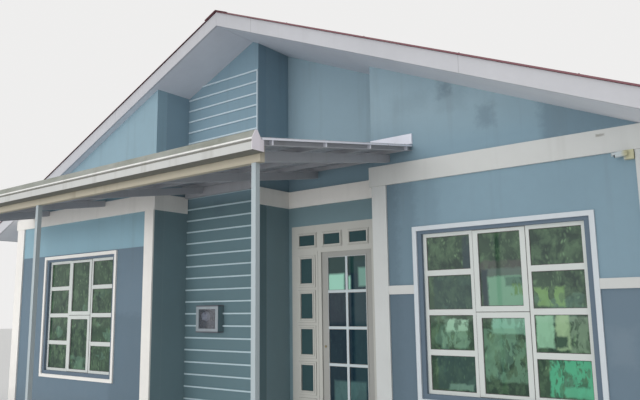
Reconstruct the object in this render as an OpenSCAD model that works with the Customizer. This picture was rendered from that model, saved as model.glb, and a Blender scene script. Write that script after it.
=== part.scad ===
// Single-storey bungalow with a low gable roof, a projecting left wing,
// a battened tower panel beside a recessed entrance, and a lean-to canopy.
// Millimetres. X runs along the front, +Y to the back, Z up from the ground.
// The origin is on the ground, under the ridge, halfway along the main block.

/* [House] */
// Half of the width over the outer wall faces
half_w = 4370; // [4000:10:5200]
// Depth of the main block over the outer wall faces
house_depth = 8000; // [6500:50:11000]
// Thickness of the block walls
wall_t = 150; // [100:10:200]
// Height of the indoor floor above the ground
floor_h = 150; // [100:10:300]
// How far the left wing stands in front of the main front
wing_fwd = 520; // [200:10:1200]
// Inner end of the left wing, left of the ridge
wing_in = 1150; // [1000:10:1500]
// Left edge of the entrance recess, right of the ridge
recess_x0 = 90; // [0:10:300]
// Right edge of the entrance recess
recess_x1 = 1690; // [1500:10:1900]
// Depth of the entrance recess
recess_depth = 560; // [300:10:1200]

/* [Roof] */
// Height of the soffit at the outer face of the side walls
eave_z = 2958; // [2900:1:3300]
// Roof pitch in degrees
roof_pitch = 23.3; // [15:0.1:26]
// Overhang past the side walls
side_overhang = 600; // [300:10:900]
// Overhang past the left wing front
front_overhang = 100; // [60:5:400]
// Overhang past the back wall
back_overhang = 600; // [300:10:900]
// Plumb height of the white barge boards and fascias
fascia_h = 162; // [120:5:260]
// Thickness of the barge boards and fascias
fascia_t = 25; // [15:1:40]
// Plumb thickness of the soffit lining
lining_t = 14; // [8:1:25]
// Spacing of the roof sheet ribs
rib_pitch = 203; // [150:1:300]
// Height of the roof sheet ribs
rib_h = 16; // [12:1:40]

/* [Windows] */
// Width of a window opening
win_w = 1516; // [1200:2:1840]
// Height of a window opening
win_h = 1490; // [1100:10:1600]
// Height of the window sill above the ground
win_sill = 790; // [500:10:1000]
// Setback of the window frame from the wall face
win_setback = 35; // [20:5:70]
// Depth of the window frame
win_frame_d = 60; // [40:5:80]
// Centre of the right wing window
win_right_x = 2988; // [2800:1:3200]
// Centre of the left wing window, left of the ridge
win_left_x = 2720; // [2600:10:2900]
// Distance of the side and back windows from the house centre
win_other_c = 2100; // [1500:10:2500]
// Width of the raised trim round a window
trim_w = 43; // [30:1:70]
// Painted margin between the trim and the opening
trim_margin = 46; // [20:1:80]
// Painted margin above the opening
trim_margin_top = 32; // [20:1:80]

/* [Trim boards] */
// Underside of the upper white band
band_z = 2806; // [2600:1:2900]
// Height of the upper white band
band_h = 204; // [120:1:300]
// Height of the middle white band above the ground
mid_z = 1712; // [1400:1:1900]
// Height of the middle band board
mid_h = 84; // [60:1:140]
// Projection of the bands from the wall
band_t = 25; // [15:1:40]
// Projection of the pilasters and window trims
trim_t = 20; // [10:1:35]
// Width of the corner pilasters
pilaster_w = 188; // [120:1:260]
// Width of the two pilasters beside the entrance
column_w = 168; // [120:1:260]
// Pitch of the tower battens
batten_pitch = 146; // [100:0.5:200]
// Height of the lowest batten
batten_z0 = 216; // [150:1:400]
// Height of one batten
batten_h = 17; // [12:1:40]
// Projection of a batten
batten_t = 15; // [8:1:25]

/* [Entrance] */
// Width of the door set
set_w = 1200; // [1150:10:1300]
// Top of the door set above the ground
set_top = 2570; // [2100:10:2700]
// Wall left of the door set inside the recess
set_x_gap = 48; // [20:1:150]
// Set back of the door leaf from the face of its frame
leaf_set = 17; // [12:1:30]
// Width of the door leaf
leaf_w = 730; // [680:5:760]
// Height of the transom zone above the door leaf
transom_zone = 320; // [300:5:360]
// Height of the door leaf below its lowest panes
leaf_foot = 371; // [250:1:450]
// Thickness of the door leaf
leaf_t = 45; // [35:1:55]
// Clearance round the door leaf
leaf_gap = 6; // [5:1:10]
// Clearance at the latch edge of the door leaf
latch_gap = 9; // [8:1:14]

/* [Canopy] */
// Fall of the canopy, rise over run
canopy_fall = 0.167; // [0.05:0.001:0.3]
// Underside of the canopy sheet at the main front
canopy_z = 3164; // [3050:2:3250]
// Reach of the canopy from the main front to the gutter back
canopy_reach = 2180; // [1500:10:3000]
// Left end of the canopy, left of the ridge
canopy_left = 3950; // [3000:10:4000]
// Right end of the canopy
canopy_x1 = 2176; // [1900:1:2600]
// Spacing of the canopy rafters
rafter_pitch = 1351; // [900:1:1600]
// Spacing of the canopy purlins
canopy_purlin_pitch = 658; // [500:1:800]
// Distance of the last purlin from the main front
canopy_purlin_start = 126; // [60:1:200]
// Width and depth of the post section
post_w = 43; // [40:1:100]

/* [Hidden] */

wall_color = "#7a94a2";
white_color = "#d8d8d2";
frame_color = "#e2e2dc";
glass_color = "#4e6a60";
roof_color = "#7a3f48";
steel_color = "#8d9298";

// Places worked out from the sizes above
ridge_z = eave_z + half_w * tan(roof_pitch);
front_y = -house_depth / 2;
wing_y = front_y - wing_fwd;
back_y = house_depth / 2;
door_y = front_y + recess_depth;
roof_half = half_w + side_overhang;
roof_front = wing_y - front_overhang;
roof_back = back_y + back_overhang;
band_top = band_z + band_h;
joint_gap = 1;
slope_seat = 0.3;

function under_roof(x) = ridge_z - tan(roof_pitch) * abs(x);

// Outline of a wall in the XZ plane, cut to the slope of the roof
function gable_outline(xa, xb, z0) = concat(
    [[xa, z0], [xb, z0], [xb, under_roof(xb)]],
    (xa < 0 && xb > 0) ? [[0, ridge_z]] : [],
    [[xa, under_roof(xa)]]
);

// Box between two corners
module block(a, b) {
    translate(a) cube(b - a);
}

// XZ outline made into a plate between two Y places
module xz_plate(ya, yb) {
    translate([0, yb, 0]) rotate([90, 0, 0]) linear_extrude(yb - ya) children();
}

// YZ outline made into a plate between two X places
module yz_plate(xa, xb) {
    translate([xa, 0, 0]) rotate([90, 0, 90]) linear_extrude(xb - xa) children();
}

// Rectangle from its low corner to its high corner
module rect(a, b) {
    translate(a) square(b - a);
}

// Wall with its top on the roof slope
module gable_wall(xa, xb, ya, yb, z0 = 0) {
    xz_plate(ya, yb) polygon(gable_outline(xa, xb, z0));
}

// White board on a wall, cut where it meets the soffit
module board(xa, xb, ya, yb, za, zb) {
    xz_plate(ya, yb) intersection() {
        rect([xa, za], [xb, zb]);
        polygon(gable_outline(min(xa, -1), max(xb, 1), 0));
    }
}

// Floor and walls
module floor_slab() {
    inner = half_w - wall_t;
    color("#8f8f8b") linear_extrude(floor_h) polygon([
            [-inner, wing_y + wall_t], [-wing_in - wall_t, wing_y + wall_t],
            [-wing_in - wall_t, front_y + wall_t], [recess_x0 - wall_t, front_y + wall_t],
            [recess_x0 - wall_t, door_y + wall_t], [set_x0, door_y + wall_t],
            [set_x0, door_y], [set_x1, door_y], [set_x1, door_y + wall_t],
            [recess_x1 + wall_t, door_y + wall_t], [recess_x1 + wall_t, front_y + wall_t],
            [inner, front_y + wall_t], [inner, back_y - wall_t], [-inner, back_y - wall_t]
        ]);
}

step_drop = 20;
module door_step() {
    color("#9a9a94") block([recess_x0, front_y, 0], [recess_x1, door_y, floor_h - step_drop]);
}

// Window openings cut through a wall along Y or along X
module opening_y(x, y) {
    block([x - win_w / 2, y - wall_t, win_sill], [x + win_w / 2, y + 2 * wall_t, win_sill + win_h]);
}
module opening_x(x, y) {
    block([x - wall_t, y - win_w / 2, win_sill], [x + 2 * wall_t, y + win_w / 2, win_sill + win_h]);
}

module right_front_wall() {
    color(wall_color) difference() {
        gable_wall(recess_x1, half_w, front_y, front_y + wall_t);
        opening_y(win_right_x, front_y);
    }
}
module right_return_wall() {
    color(wall_color) gable_wall(recess_x1, recess_x1 + wall_t, front_y + wall_t, door_y);
}
module side_wall_body(ya) {
    difference() {
        gable_wall(half_w - wall_t, half_w, ya, back_y - wall_t);
        for (y = [-win_other_c, win_other_c]) opening_x(half_w - wall_t, y);
    }
}
module right_side_wall() {
    color(wall_color) side_wall_body(front_y + wall_t);
}
module left_side_wall() {
    color(wall_color) mirror([1, 0, 0]) side_wall_body(wing_y + wall_t);
}
module left_front_wall() {
    color(wall_color) difference() {
        gable_wall(-half_w, -wing_in, wing_y, wing_y + wall_t);
        opening_y(-win_left_x, wing_y);
    }
}
module left_return_wall() {
    color(wall_color)
        gable_wall(-wing_in - wall_t, -wing_in, wing_y + wall_t, front_y + wall_t);
}
module back_wall() {
    color(wall_color) difference() {
        gable_wall(-half_w, half_w, back_y - wall_t, back_y);
        for (x = [-win_other_c, win_other_c]) opening_y(x, back_y - wall_t);
    }
}
module tower_front_wall() {
    color(wall_color) gable_wall(-wing_in, recess_x0, front_y, front_y + wall_t);
}
module tower_side_wall() {
    color(wall_color) gable_wall(recess_x0 - wall_t, recess_x0, front_y + wall_t, door_y);
}

set_x0 = recess_x0 + set_x_gap;
set_x1 = set_x0 + set_w;
door_wall_x0 = recess_x0 - wall_t;
door_wall_x1 = recess_x1 + wall_t;
module door_wall_piers() {
    color(wall_color) {
        block([door_wall_x0, door_y, 0], [set_x0, door_y + wall_t, set_top]);
        block([set_x1, door_y, 0], [door_wall_x1, door_y + wall_t, set_top]);
    }
}
module door_wall_header() {
    color(wall_color) gable_wall(door_wall_x0, door_wall_x1, door_y, door_y + wall_t, set_top);
}

// White bands, pilasters and battens
module upper_band() {
    y_wing = wing_y - band_t;
    y_main = front_y - band_t;
    color(white_color) {
        board(-half_w - band_t, -wing_in + band_t, y_wing, wing_y, band_z, band_top);
        board(-wing_in, -wing_in + band_t, wing_y + joint_gap, front_y - batten_t - joint_gap,
              band_z, band_top);
        board(recess_x0, recess_x0 + band_t, front_y, door_y, band_z, band_top);
        board(recess_x0 + band_t + joint_gap, recess_x1 - band_t - joint_gap,
              door_y - band_t, door_y, band_z, band_top);
        board(recess_x1 - band_t, recess_x1, front_y, door_y, band_z, band_top);
        board(recess_x1 - band_t, half_w + band_t, y_main, front_y - joint_gap, band_z, band_top);
        board(half_w, half_w + band_t, front_y, back_y, band_z, band_top);
        board(-half_w - band_t, -half_w, wing_y + joint_gap, back_y, band_z, band_top);
        board(-half_w - band_t, half_w + band_t, back_y + joint_gap, back_y + band_t,
              band_z, band_top);
    }
}

trim_out = win_w / 2 + trim_margin + trim_w;
module middle_band() {
    mid_top = mid_z + mid_h;
    color(white_color) {
        board(recess_x1 + column_w + joint_gap, win_right_x - trim_out - joint_gap,
              front_y - trim_t, front_y, mid_z, mid_top);
        board(win_right_x + trim_out + joint_gap, half_w - pilaster_w - joint_gap,
              front_y - trim_t, front_y, mid_z, mid_top);
    }
}

module pilasters() {
    color(white_color) {
        board(recess_x1, recess_x1 + column_w, front_y - trim_t, front_y, 0, band_z - joint_gap);
        board(half_w - pilaster_w, half_w, front_y - trim_t, front_y, 0, band_z - joint_gap);
        board(-wing_in - column_w, -wing_in, wing_y - trim_t, wing_y, 0, band_z - joint_gap);
        board(-half_w, pilaster_w - half_w, wing_y - trim_t, wing_y, 0, band_z - joint_gap);
        for (x = [-half_w, half_w - pilaster_w])
            board(x, x + pilaster_w, back_y, back_y + trim_t, 0, band_z - joint_gap);
    }
}

cabinet_x0 = -846;
cabinet_w = 380;
cabinet_z0 = 1317;
cabinet_h = 320;
cabinet_d = 95;
edge_w = 16;
batten_start = 10;
module tower_battens() {
    // One more than fits under the roof at the left end: the soffit cuts it there
    count = floor((under_roof(wing_in) - batten_z0 - batten_h) / batten_pitch) + 1;
    edge_top = batten_z0 + count * batten_pitch + batten_h;
    x_end = recess_x0 - edge_w - joint_gap;
    x_start = batten_start - wing_in;
    cabinet_x1 = cabinet_x0 + cabinet_w;
    color(white_color) {
        for (k = [0 : count]) {
            z = batten_z0 + k * batten_pitch;
            beside = z + batten_h > cabinet_z0 && z < cabinet_z0 + cabinet_h;
            if (beside) {
                board(x_start, cabinet_x0 - joint_gap, front_y - batten_t, front_y, z, z + batten_h);
                board(cabinet_x1 + joint_gap, x_end, front_y - batten_t, front_y, z, z + batten_h);
            } else {
                board(x_start, x_end, front_y - batten_t, front_y, z, z + batten_h);
            }
        }
        board(recess_x0 - edge_w, recess_x0, front_y - batten_t, front_y, 0, edge_top);
    }
}

// Windows: a ring of trim, a frame with bars, and glass held in a groove
module window_ring() {
    difference() {
        rect([-trim_out, win_sill - trim_margin - trim_w],
             [trim_out, win_sill + win_h + trim_margin_top + trim_w]);
        rect([-trim_out + trim_w, win_sill - trim_margin],
             [trim_out - trim_w, win_sill + win_h + trim_margin_top]);
    }
}

// Window frame seen from outside, centred on X, with side lights of four panes
// and a middle light of two sashes whose rails stand a little proud
jamb_w = 35;
mullion_w = 83;
mid_light_w = 394;
side_light_w = win_w / 2 - jamb_w - mullion_w - mid_light_w / 2;
bar_h = 52;
sash_h = 103;
sash_rail = 48;
sash_t = 5;
glass_t = 6;
glass_in = 10;
glass_seat = 10;
module pane_column(x, w, rows, bar) {
    z0 = win_sill + jamb_w;
    h = (win_h - 2 * jamb_w - (rows - 1) * bar) / rows;
    for (k = [0 : rows - 1]) rect([x, z0 + k * (h + bar)], [x + w, z0 + k * (h + bar) + h]);
}
module glass_sheet() {
    in_x = win_w / 2 - jamb_w;
    block([-in_x - glass_seat, win_setback + glass_in, win_sill + jamb_w - glass_seat],
          [in_x + glass_seat, win_setback + glass_in + glass_t, win_sill + win_h - jamb_w + glass_seat]);
}
module window_frame() {
    in_x = win_w / 2 - jamb_w;
    mid_z0 = win_sill + win_h / 2;
    half = mid_light_w / 2 + sash_rail;
    color(frame_color) {
        difference() {
            xz_plate(win_setback, win_setback + win_frame_d) difference() {
                rect([-win_w / 2, win_sill], [win_w / 2, win_sill + win_h]);
                pane_column(-in_x, side_light_w, 4, bar_h);
                pane_column(-mid_light_w / 2, mid_light_w, 2, sash_h);
                pane_column(in_x - side_light_w, side_light_w, 4, bar_h);
            }
            glass_sheet();
        }
        xz_plate(win_setback - sash_t, win_setback) difference() {
            union() {
                rect([-half, win_sill + 6], [half, mid_z0 - 3]);
                rect([-half, mid_z0 + 3], [half, win_sill + win_h - 6]);
            }
            pane_column(-mid_light_w / 2, mid_light_w, 2, sash_h);
        }
    }
}
module window_pane() {
    color(glass_color) glass_sheet();
}

// Places of the windows: children are drawn with the wall's outer face at Y = 0
module on_front() {
    translate([win_right_x, front_y, 0]) children();
    translate([-win_left_x, wing_y, 0]) children();
}
module on_sides() {
    for (y = [-win_other_c, win_other_c]) {
        translate([half_w, y, 0]) rotate([0, 0, 90]) children();
        translate([-half_w, y, 0]) rotate([0, 0, -90]) children();
    }
}
module on_back() {
    for (x = [-win_other_c, win_other_c])
        translate([x, back_y, 0]) rotate([0, 0, 180]) children();
}

module window_trims() {
    color(white_color) {
        on_front() xz_plate(-trim_t, 0) window_ring();
        on_sides() xz_plate(-trim_t, 0) window_ring();
        on_back() xz_plate(-trim_t, 0) window_ring();
    }
}
module front_window_frames() { on_front() window_frame(); }
module front_window_glass() { on_front() window_pane(); }
module side_window_frames() { on_sides() window_frame(); }
module side_window_glass() { on_sides() window_pane(); }
module back_window_frames() { on_back() window_frame(); }
module back_window_glass() { on_back() window_pane(); }

// Door set: a transom of three lights, a glazed sidelight and the door leaf
leaf_top = set_top - transom_zone;
pane_top = leaf_top - 77;
row_count = 4;
pane_pitch = (pane_top - floor_h - leaf_foot) / row_count;
box_w = 262;
box_h = pane_pitch - 38;
box_x0 = set_x0 + 96;
light_w = 180;
light_h = pane_pitch - 118;
leaf_x1 = set_x1 - 36;
leaf_x0 = leaf_x1 - leaf_w;
leaf_y = door_y + leaf_set;
frame_d = leaf_set + leaf_t;
transom_w = 238;
transom_h = 127;
transom_z = set_top - 243;
transom_pitch = 370;
transom_off = 8;
box_t = 8;
bead_w = 16;
bead_t = 5;
module transom_lights(grow = 0) {
    for (k = [0 : 2]) {
        x = set_x0 + set_w / 2 + transom_off - transom_w / 2 + (k - 1) * transom_pitch;
        rect([x - grow, transom_z - grow], [x + transom_w + grow, transom_z + transom_h + grow]);
    }
}
module sidelight_panes(grow = 0) {
    x = box_x0 + (box_w - light_w) / 2;
    for (k = [0 : row_count - 1]) {
        z = pane_top - light_h - k * pane_pitch;
        rect([x - grow, z - grow], [x + light_w + grow, z + light_h + grow]);
    }
}
module sidelight_boxes() {
    for (k = [0 : row_count]) {
        z = pane_top + 37 - box_h - k * pane_pitch;
        rect([box_x0, z], [box_x0 + box_w, z + box_h]);
    }
}
// The frame is a rebated section: its outer part laps over the edges of the leaf as a stop
stop_lap = 12;
stop_gap = 6;
module frame_section(x0, x1, z1) {
    difference() {
        rect([set_x0, floor_h], [set_x1, set_top]);
        rect([x0, floor_h - 1], [x1, z1]);
        transom_lights();
        sidelight_panes();
    }
}
module door_frame() {
    stop_y = leaf_y - stop_gap;
    color(frame_color) {
        xz_plate(door_y, stop_y)
            frame_section(leaf_x0 + stop_lap, leaf_x1 - stop_lap, leaf_top - stop_lap);
        xz_plate(stop_y, door_y + frame_d)
            frame_section(leaf_x0 - latch_gap, leaf_x1 + leaf_gap, leaf_top + leaf_gap);
        xz_plate(door_y - box_t, door_y) difference() {
            union() {
                sidelight_boxes();
                transom_lights(bead_w + 10);
            }
            transom_lights();
            sidelight_panes();
        }
        xz_plate(door_y - box_t - bead_t, door_y - box_t) difference() {
            union() {
                sidelight_panes(bead_w);
                transom_lights(bead_w);
            }
            transom_lights();
            sidelight_panes();
        }
    }
}
module door_frame_glass() {
    color(glass_color) xz_plate(door_y + 2, door_y + 2 + glass_t) {
        transom_lights();
        sidelight_panes();
    }
}

glazed_w = 523;
bar_w = 30;
stile_w = (leaf_w - glazed_w) / 2;
pane_bar = 30;
module leaf_panes() {
    w = (glazed_w - bar_w) / 2;
    for (k = [0 : row_count - 1], s = [0, 1]) {
        x = leaf_x0 + stile_w + s * (w + bar_w);
        z = pane_top - (k + 1) * pane_pitch + pane_bar;
        rect([x, z], [x + w, z + pane_pitch - pane_bar]);
    }
}
module door_leaf() {
    panel_z = floor_h + 100;
    bead_x = leaf_x0 + stile_w - bead_w;
    color(frame_color) {
        xz_plate(leaf_y, leaf_y + leaf_t) difference() {
            rect([leaf_x0, floor_h + 10], [leaf_x1, leaf_top]);
            leaf_panes();
        }
        xz_plate(leaf_y - bead_t, leaf_y) difference() {
            rect([bead_x, floor_h + leaf_foot + pane_bar - bead_w],
                 [bead_x + glazed_w + 2 * bead_w, pane_top + bead_w]);
            leaf_panes();
        }
        xz_plate(leaf_y - 10, leaf_y)
            rect([leaf_x0 + stile_w, panel_z], [leaf_x1 - stile_w, panel_z + leaf_foot - 171]);
    }
}
module door_leaf_glass() {
    color(glass_color) xz_plate(leaf_y + 6, leaf_y + 6 + glass_t) leaf_panes();
}

// Lever handle on the inner face and a low lock cylinder on the outer one
handle_z = 1150;
rose_r = 26;
lock_r = 14;
module door_handles() {
    x = leaf_x0 + stile_w / 2;
    color("#c9b27a") {
        translate([x, leaf_y + leaf_t, handle_z]) rotate([-90, 0, 0]) {
            cylinder(h = 8, r = rose_r, $fn = 48);
            cylinder(h = 52, r = 9, $fn = 32);
            translate([0, 0, 44]) rotate([0, 90, 0]) cylinder(h = 110, r = 8, $fn = 32);
        }
        translate([x, leaf_y, handle_z]) rotate([90, 0, 0]) difference() {
            cylinder(h = 6, r = lock_r, $fn = 48);
            translate([0, 0, 4]) cylinder(h = 3, r = lock_r - 4, $fn = 48);
        }
    }
}

// Butt hinges: the frame carries the outer knuckles and the pin, the leaf the middle one
hinge_r = 8;
hinge_h = 100;
pin_r = 4;
pin_play = 0.1;
hinge_plate = 3;
hinge_x = leaf_x1 + leaf_gap / 2;
hinge_back = leaf_y + leaf_t;
hinge_y = hinge_back + hinge_r + 1;
hinge_zs = [floor_h + 250, floor_h + 1000, leaf_top - 250];
knuckle_h = hinge_h / 3;
plate_w = 22;
plate_gap = hinge_r + 1;
module knuckle(z, h) {
    translate([hinge_x, hinge_y, z]) cylinder(h = h, r = hinge_r, $fn = 32);
}
module hinge_plate_at(side, z, h, inner) {
    x0 = hinge_x + side * inner;
    x1 = hinge_x + side * (plate_gap + plate_w);
    block([min(x0, x1), hinge_back, z], [max(x0, x1), hinge_back + hinge_plate, z + h]);
}
module frame_hinges() {
    color("#b9bcc0") for (z = hinge_zs) {
        translate([hinge_x, hinge_y, z]) cylinder(h = hinge_h, r = pin_r, $fn = 32);
        hinge_plate_at(1, z, hinge_h, plate_gap);
        for (zk = [z, z + hinge_h - knuckle_h]) {
            knuckle(zk, knuckle_h);
            hinge_plate_at(1, zk, knuckle_h, hinge_r / 2);
        }
    }
}
module leaf_hinges() {
    color("#b9bcc0") for (z = hinge_zs) {
        zk = z + knuckle_h + slope_seat;
        h = hinge_h - 2 * knuckle_h - 2 * slope_seat;
        hinge_plate_at(-1, z, hinge_h, plate_gap);
        difference() {
            union() {
                knuckle(zk, h);
                hinge_plate_at(-1, zk, h, hinge_r / 2);
            }
            translate([hinge_x, hinge_y, zk - 1]) cylinder(h = h + 2, r = pin_r + pin_play, $fn = 32);
        }
    }
}

// Roof: soffit lining, purlins, ribbed sheets, ridge cap and white edge boards
purlin_w = 50;
purlin_count = 6;
module both_slopes() {
    children();
    mirror([1, 0, 0]) children();
}
board_in = roof_half - fascia_t;
module roof_lining() {
    color(white_color) both_slopes()
        xz_plate(roof_front + fascia_t, roof_back - fascia_t)
            polygon([
                [joint_gap, under_roof(joint_gap)], [board_in, under_roof(board_in)],
                [board_in, under_roof(board_in) + lining_t], [joint_gap, under_roof(joint_gap) + lining_t]
            ]);
}
module roof_purlins() {
    step = (board_in - purlin_w - 60) / (purlin_count - 1);
    color("#a58d6b") both_slopes() for (k = [0 : purlin_count - 1]) {
        x = 60 + k * step;
        xz_plate(roof_front + fascia_t, roof_back - fascia_t) polygon([
            [x, under_roof(x) + lining_t + slope_seat],
            [x + purlin_w, under_roof(x + purlin_w) + lining_t + slope_seat],
            [x + purlin_w, under_roof(x + purlin_w) + fascia_h], [x, under_roof(x) + fascia_h]
        ]);
    }
}
module barge_boards() {
    color(white_color) both_slopes()
        for (y = [roof_front, roof_back - fascia_t])
            xz_plate(y, y + fascia_t) polygon([
                [joint_gap, under_roof(joint_gap)], [roof_half, under_roof(roof_half)],
                [roof_half, under_roof(roof_half) + fascia_h], [joint_gap, under_roof(joint_gap) + fascia_h]
            ]);
}
module eave_fascias() {
    color(white_color) both_slopes()
        xz_plate(roof_front + fascia_t, roof_back - fascia_t) polygon([
            [board_in, under_roof(board_in)], [roof_half, under_roof(roof_half)],
            [roof_half, under_roof(roof_half) + fascia_h], [board_in, under_roof(board_in) + fascia_h]
        ]);
}

// Ribbed sheet: folded outline across the ribs, run down the slope
sheet_t = 3;
rib_foot = 60;
rib_head = 30;
function rib_line(y0, y1, pitch, h, foot, head, lift) = concat(
    [[y0, lift]],
    [for (k = [0 : floor((y1 - y0 - foot) / pitch)])
        let (c = y0 + foot / 2 + 5 + k * pitch)
        each [[c - foot / 2, lift], [c - head / 2, h + lift], [c + head / 2, h + lift], [c + foot / 2, lift]]],
    [[y1, lift]]
);
function reversed(list) = [for (i = [len(list) - 1 : -1 : 0]) list[i]];
module ribbed_sheet(y0, y1, pitch, h, foot, head, run) {
    rotate([90, 0, 90]) linear_extrude(run) polygon(concat(
        rib_line(y0, y1, pitch, h, foot, head, 0),
        reversed(rib_line(y0, y1, pitch, h, foot, head, sheet_t))
    ));
}
sheet_over = 20;
module roof_sheets() {
    run = (roof_half + 40) / cos(roof_pitch);
    ridge_gap = 15;
    color(roof_color) both_slopes()
        translate([0, 0, ridge_z + fascia_h + slope_seat]) rotate([0, roof_pitch, 0])
            translate([ridge_gap, 0, 0]) ribbed_sheet(roof_front - sheet_over, roof_back + sheet_over, rib_pitch, rib_h,
                         rib_foot, rib_head, run - ridge_gap);
}
module ridge_cap() {
    cap = 180;
    lift = fascia_h + 2 * slope_seat + (rib_h + sheet_t) / cos(roof_pitch);
    color(roof_color) xz_plate(roof_front - sheet_over, roof_back + sheet_over) polygon([
        [-cap, under_roof(cap) + lift], [0, ridge_z + lift], [cap, under_roof(cap) + lift],
        [cap, under_roof(cap) + lift + sheet_t], [0, ridge_z + lift + sheet_t],
        [-cap, under_roof(cap) + lift + sheet_t]
    ]);
}

// Canopy: posts, front beam and gutter, rafters, purlins and ribbed sheet
canopy_x0 = -canopy_left;
canopy_purlin_h = 45;
canopy_purlin_w = 40;
rafter_h = 80;
rafter_top = canopy_purlin_h + slope_seat;
rafter_w = 50;
beam_w = 50;
beam_z0 = 2642;
beam_h = 128;
beam_front = front_y - canopy_reach;
beam_back = beam_front + beam_w;
function canopy_under(y) = canopy_z + canopy_fall * (y - front_y);
rafter_x = recess_x1 + 195;
rafter_xs = concat(
    [for (x = [rafter_x : -rafter_pitch : canopy_x0 + rafter_pitch / 4]) x],
    [canopy_x0 + rafter_w / 2]
);
// Ledger carrying the rafters along the tower, clear of the battens
ledger_w = 50;
ledger_z0 = 2995;
ledger_y1 = front_y - batten_t - joint_gap;
ledger_y0 = ledger_y1 - ledger_w;
function wall_front(x) = x < -wing_in ? wing_y - band_t
    : x < recess_x0 ? ledger_y0 - slope_seat
    : x < recess_x1 ? door_y : front_y;
module canopy_beam() {
    color("#b5ae9b") block([canopy_x0, beam_front, beam_z0], [canopy_x1 - 40, beam_back, beam_z0 + beam_h]);
}
module canopy_posts() {
    foot = 45;
    plate_t = 8;
    y = beam_front + beam_w / 2;
    color("#c3ccd3") for (x = [canopy_x1 - 107, (canopy_x0 + canopy_x1) / 2, canopy_x0 + 60]) {
        block([x - post_w / 2, y - post_w / 2, plate_t], [x + post_w / 2, y + post_w / 2, beam_z0]);
        block([x - post_w / 2 - foot, y - post_w / 2 - foot, 0],
              [x + post_w / 2 + foot, y + post_w / 2 + foot, plate_t]);
    }
}
module canopy_rafters() {
    color(steel_color) for (x = rafter_xs) {
        y1 = wall_front(x);
        yz_plate(x - rafter_w / 2, x + rafter_w / 2) polygon([
            [beam_back, canopy_under(beam_back) - rafter_top],
            [beam_back, canopy_under(beam_back) - rafter_top - rafter_h],
            [y1, canopy_under(y1) - rafter_top - rafter_h],
            [y1, canopy_under(y1) - rafter_top]
        ]);
    }
}
// Bar along the slope between two X places, from one height under the sheet to another
module slope_bar(x0, x1, y0, y1, low, high) {
    yz_plate(x0, x1) polygon([
        [y0, canopy_under(y0) - low], [y1, canopy_under(y1) - low],
        [y1, canopy_under(y1) - high], [y0, canopy_under(y0) - high]
    ]);
}
purlin_x0 = canopy_x0 + 40;
purlin_x1 = canopy_x1 - 40;
purlin_y = [for (k = [0 : 3]) front_y - canopy_purlin_start - k * canopy_purlin_pitch];
module canopy_purlin(x0, x1, y) {
    slope_bar(x0, x1, y, y + canopy_purlin_w, canopy_purlin_h, slope_seat);
}
// Channel along each sloping edge of the canopy, open outwards, across the purlin ends
edge_channel_w = 34;
channel_t = 3;
module edge_channel(side, y0, y1) {
    web_x = side > 0 ? purlin_x1 + joint_gap : purlin_x0 - joint_gap;
    lip_x = web_x + side * edge_channel_w;
    slot_x = web_x + side * channel_t;
    difference() {
        slope_bar(min(web_x, lip_x), max(web_x, lip_x), y0, y1, canopy_purlin_h, slope_seat);
        slope_bar(min(slot_x, lip_x + side), max(slot_x, lip_x + side), y0 - 1, y1 + 1,
                  canopy_purlin_h - channel_t, slope_seat + channel_t);
    }
}
module canopy_purlins() {
    color(steel_color) {
        canopy_purlin(-wing_in + band_t, purlin_x1, purlin_y[0]);
        block([-wing_in + band_t + joint_gap, ledger_y0, ledger_z0],
              [recess_x0, ledger_y1, canopy_under(ledger_y0) - canopy_purlin_h - slope_seat]);
        edge_channel(1, beam_front + joint_gap, front_y);
        edge_channel(-1, beam_back + joint_gap, wing_y - band_t);
        canopy_purlin(recess_x0 + 20, recess_x1 - 20, door_y - 90);
        for (k = [1 : 3]) canopy_purlin(purlin_x0, purlin_x1, purlin_y[k]);
    }
}
canopy_rib_pitch = 203;
canopy_rib_h = 14;
sheet_clear = 3;
module canopy_sheet() {
    pitch = atan(canopy_fall);
    y_low = beam_front - 25;
    y_batten = front_y - batten_t - sheet_clear;
    color("#77797d") intersection() {
        translate([canopy_x1, y_low, canopy_under(y_low)]) rotate([pitch, 0, 0])
            rotate([0, 0, 90]) ribbed_sheet(0, canopy_x1 - canopy_x0, canopy_rib_pitch, canopy_rib_h,
                50, 30, (door_y - y_low) / cos(pitch));
        linear_extrude(ridge_z) polygon([
            [canopy_x0, y_low], [canopy_x1, y_low], [canopy_x1, front_y - sheet_clear],
            [recess_x1 - sheet_clear, front_y - sheet_clear], [recess_x1 - sheet_clear, door_y - sheet_clear],
            [recess_x0 + sheet_clear, door_y - sheet_clear], [recess_x0 + sheet_clear, y_batten],
            [sheet_clear - wing_in, y_batten], [sheet_clear - wing_in, wing_y - sheet_clear],
            [canopy_x0, wing_y - sheet_clear]
        ]);
    }
}
flashing_h = 104;
gutter_w = 122;
gutter_z0 = 2702;
gutter_top = 2853;
gutter_t = 4;
gutter_lean = 30;
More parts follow.
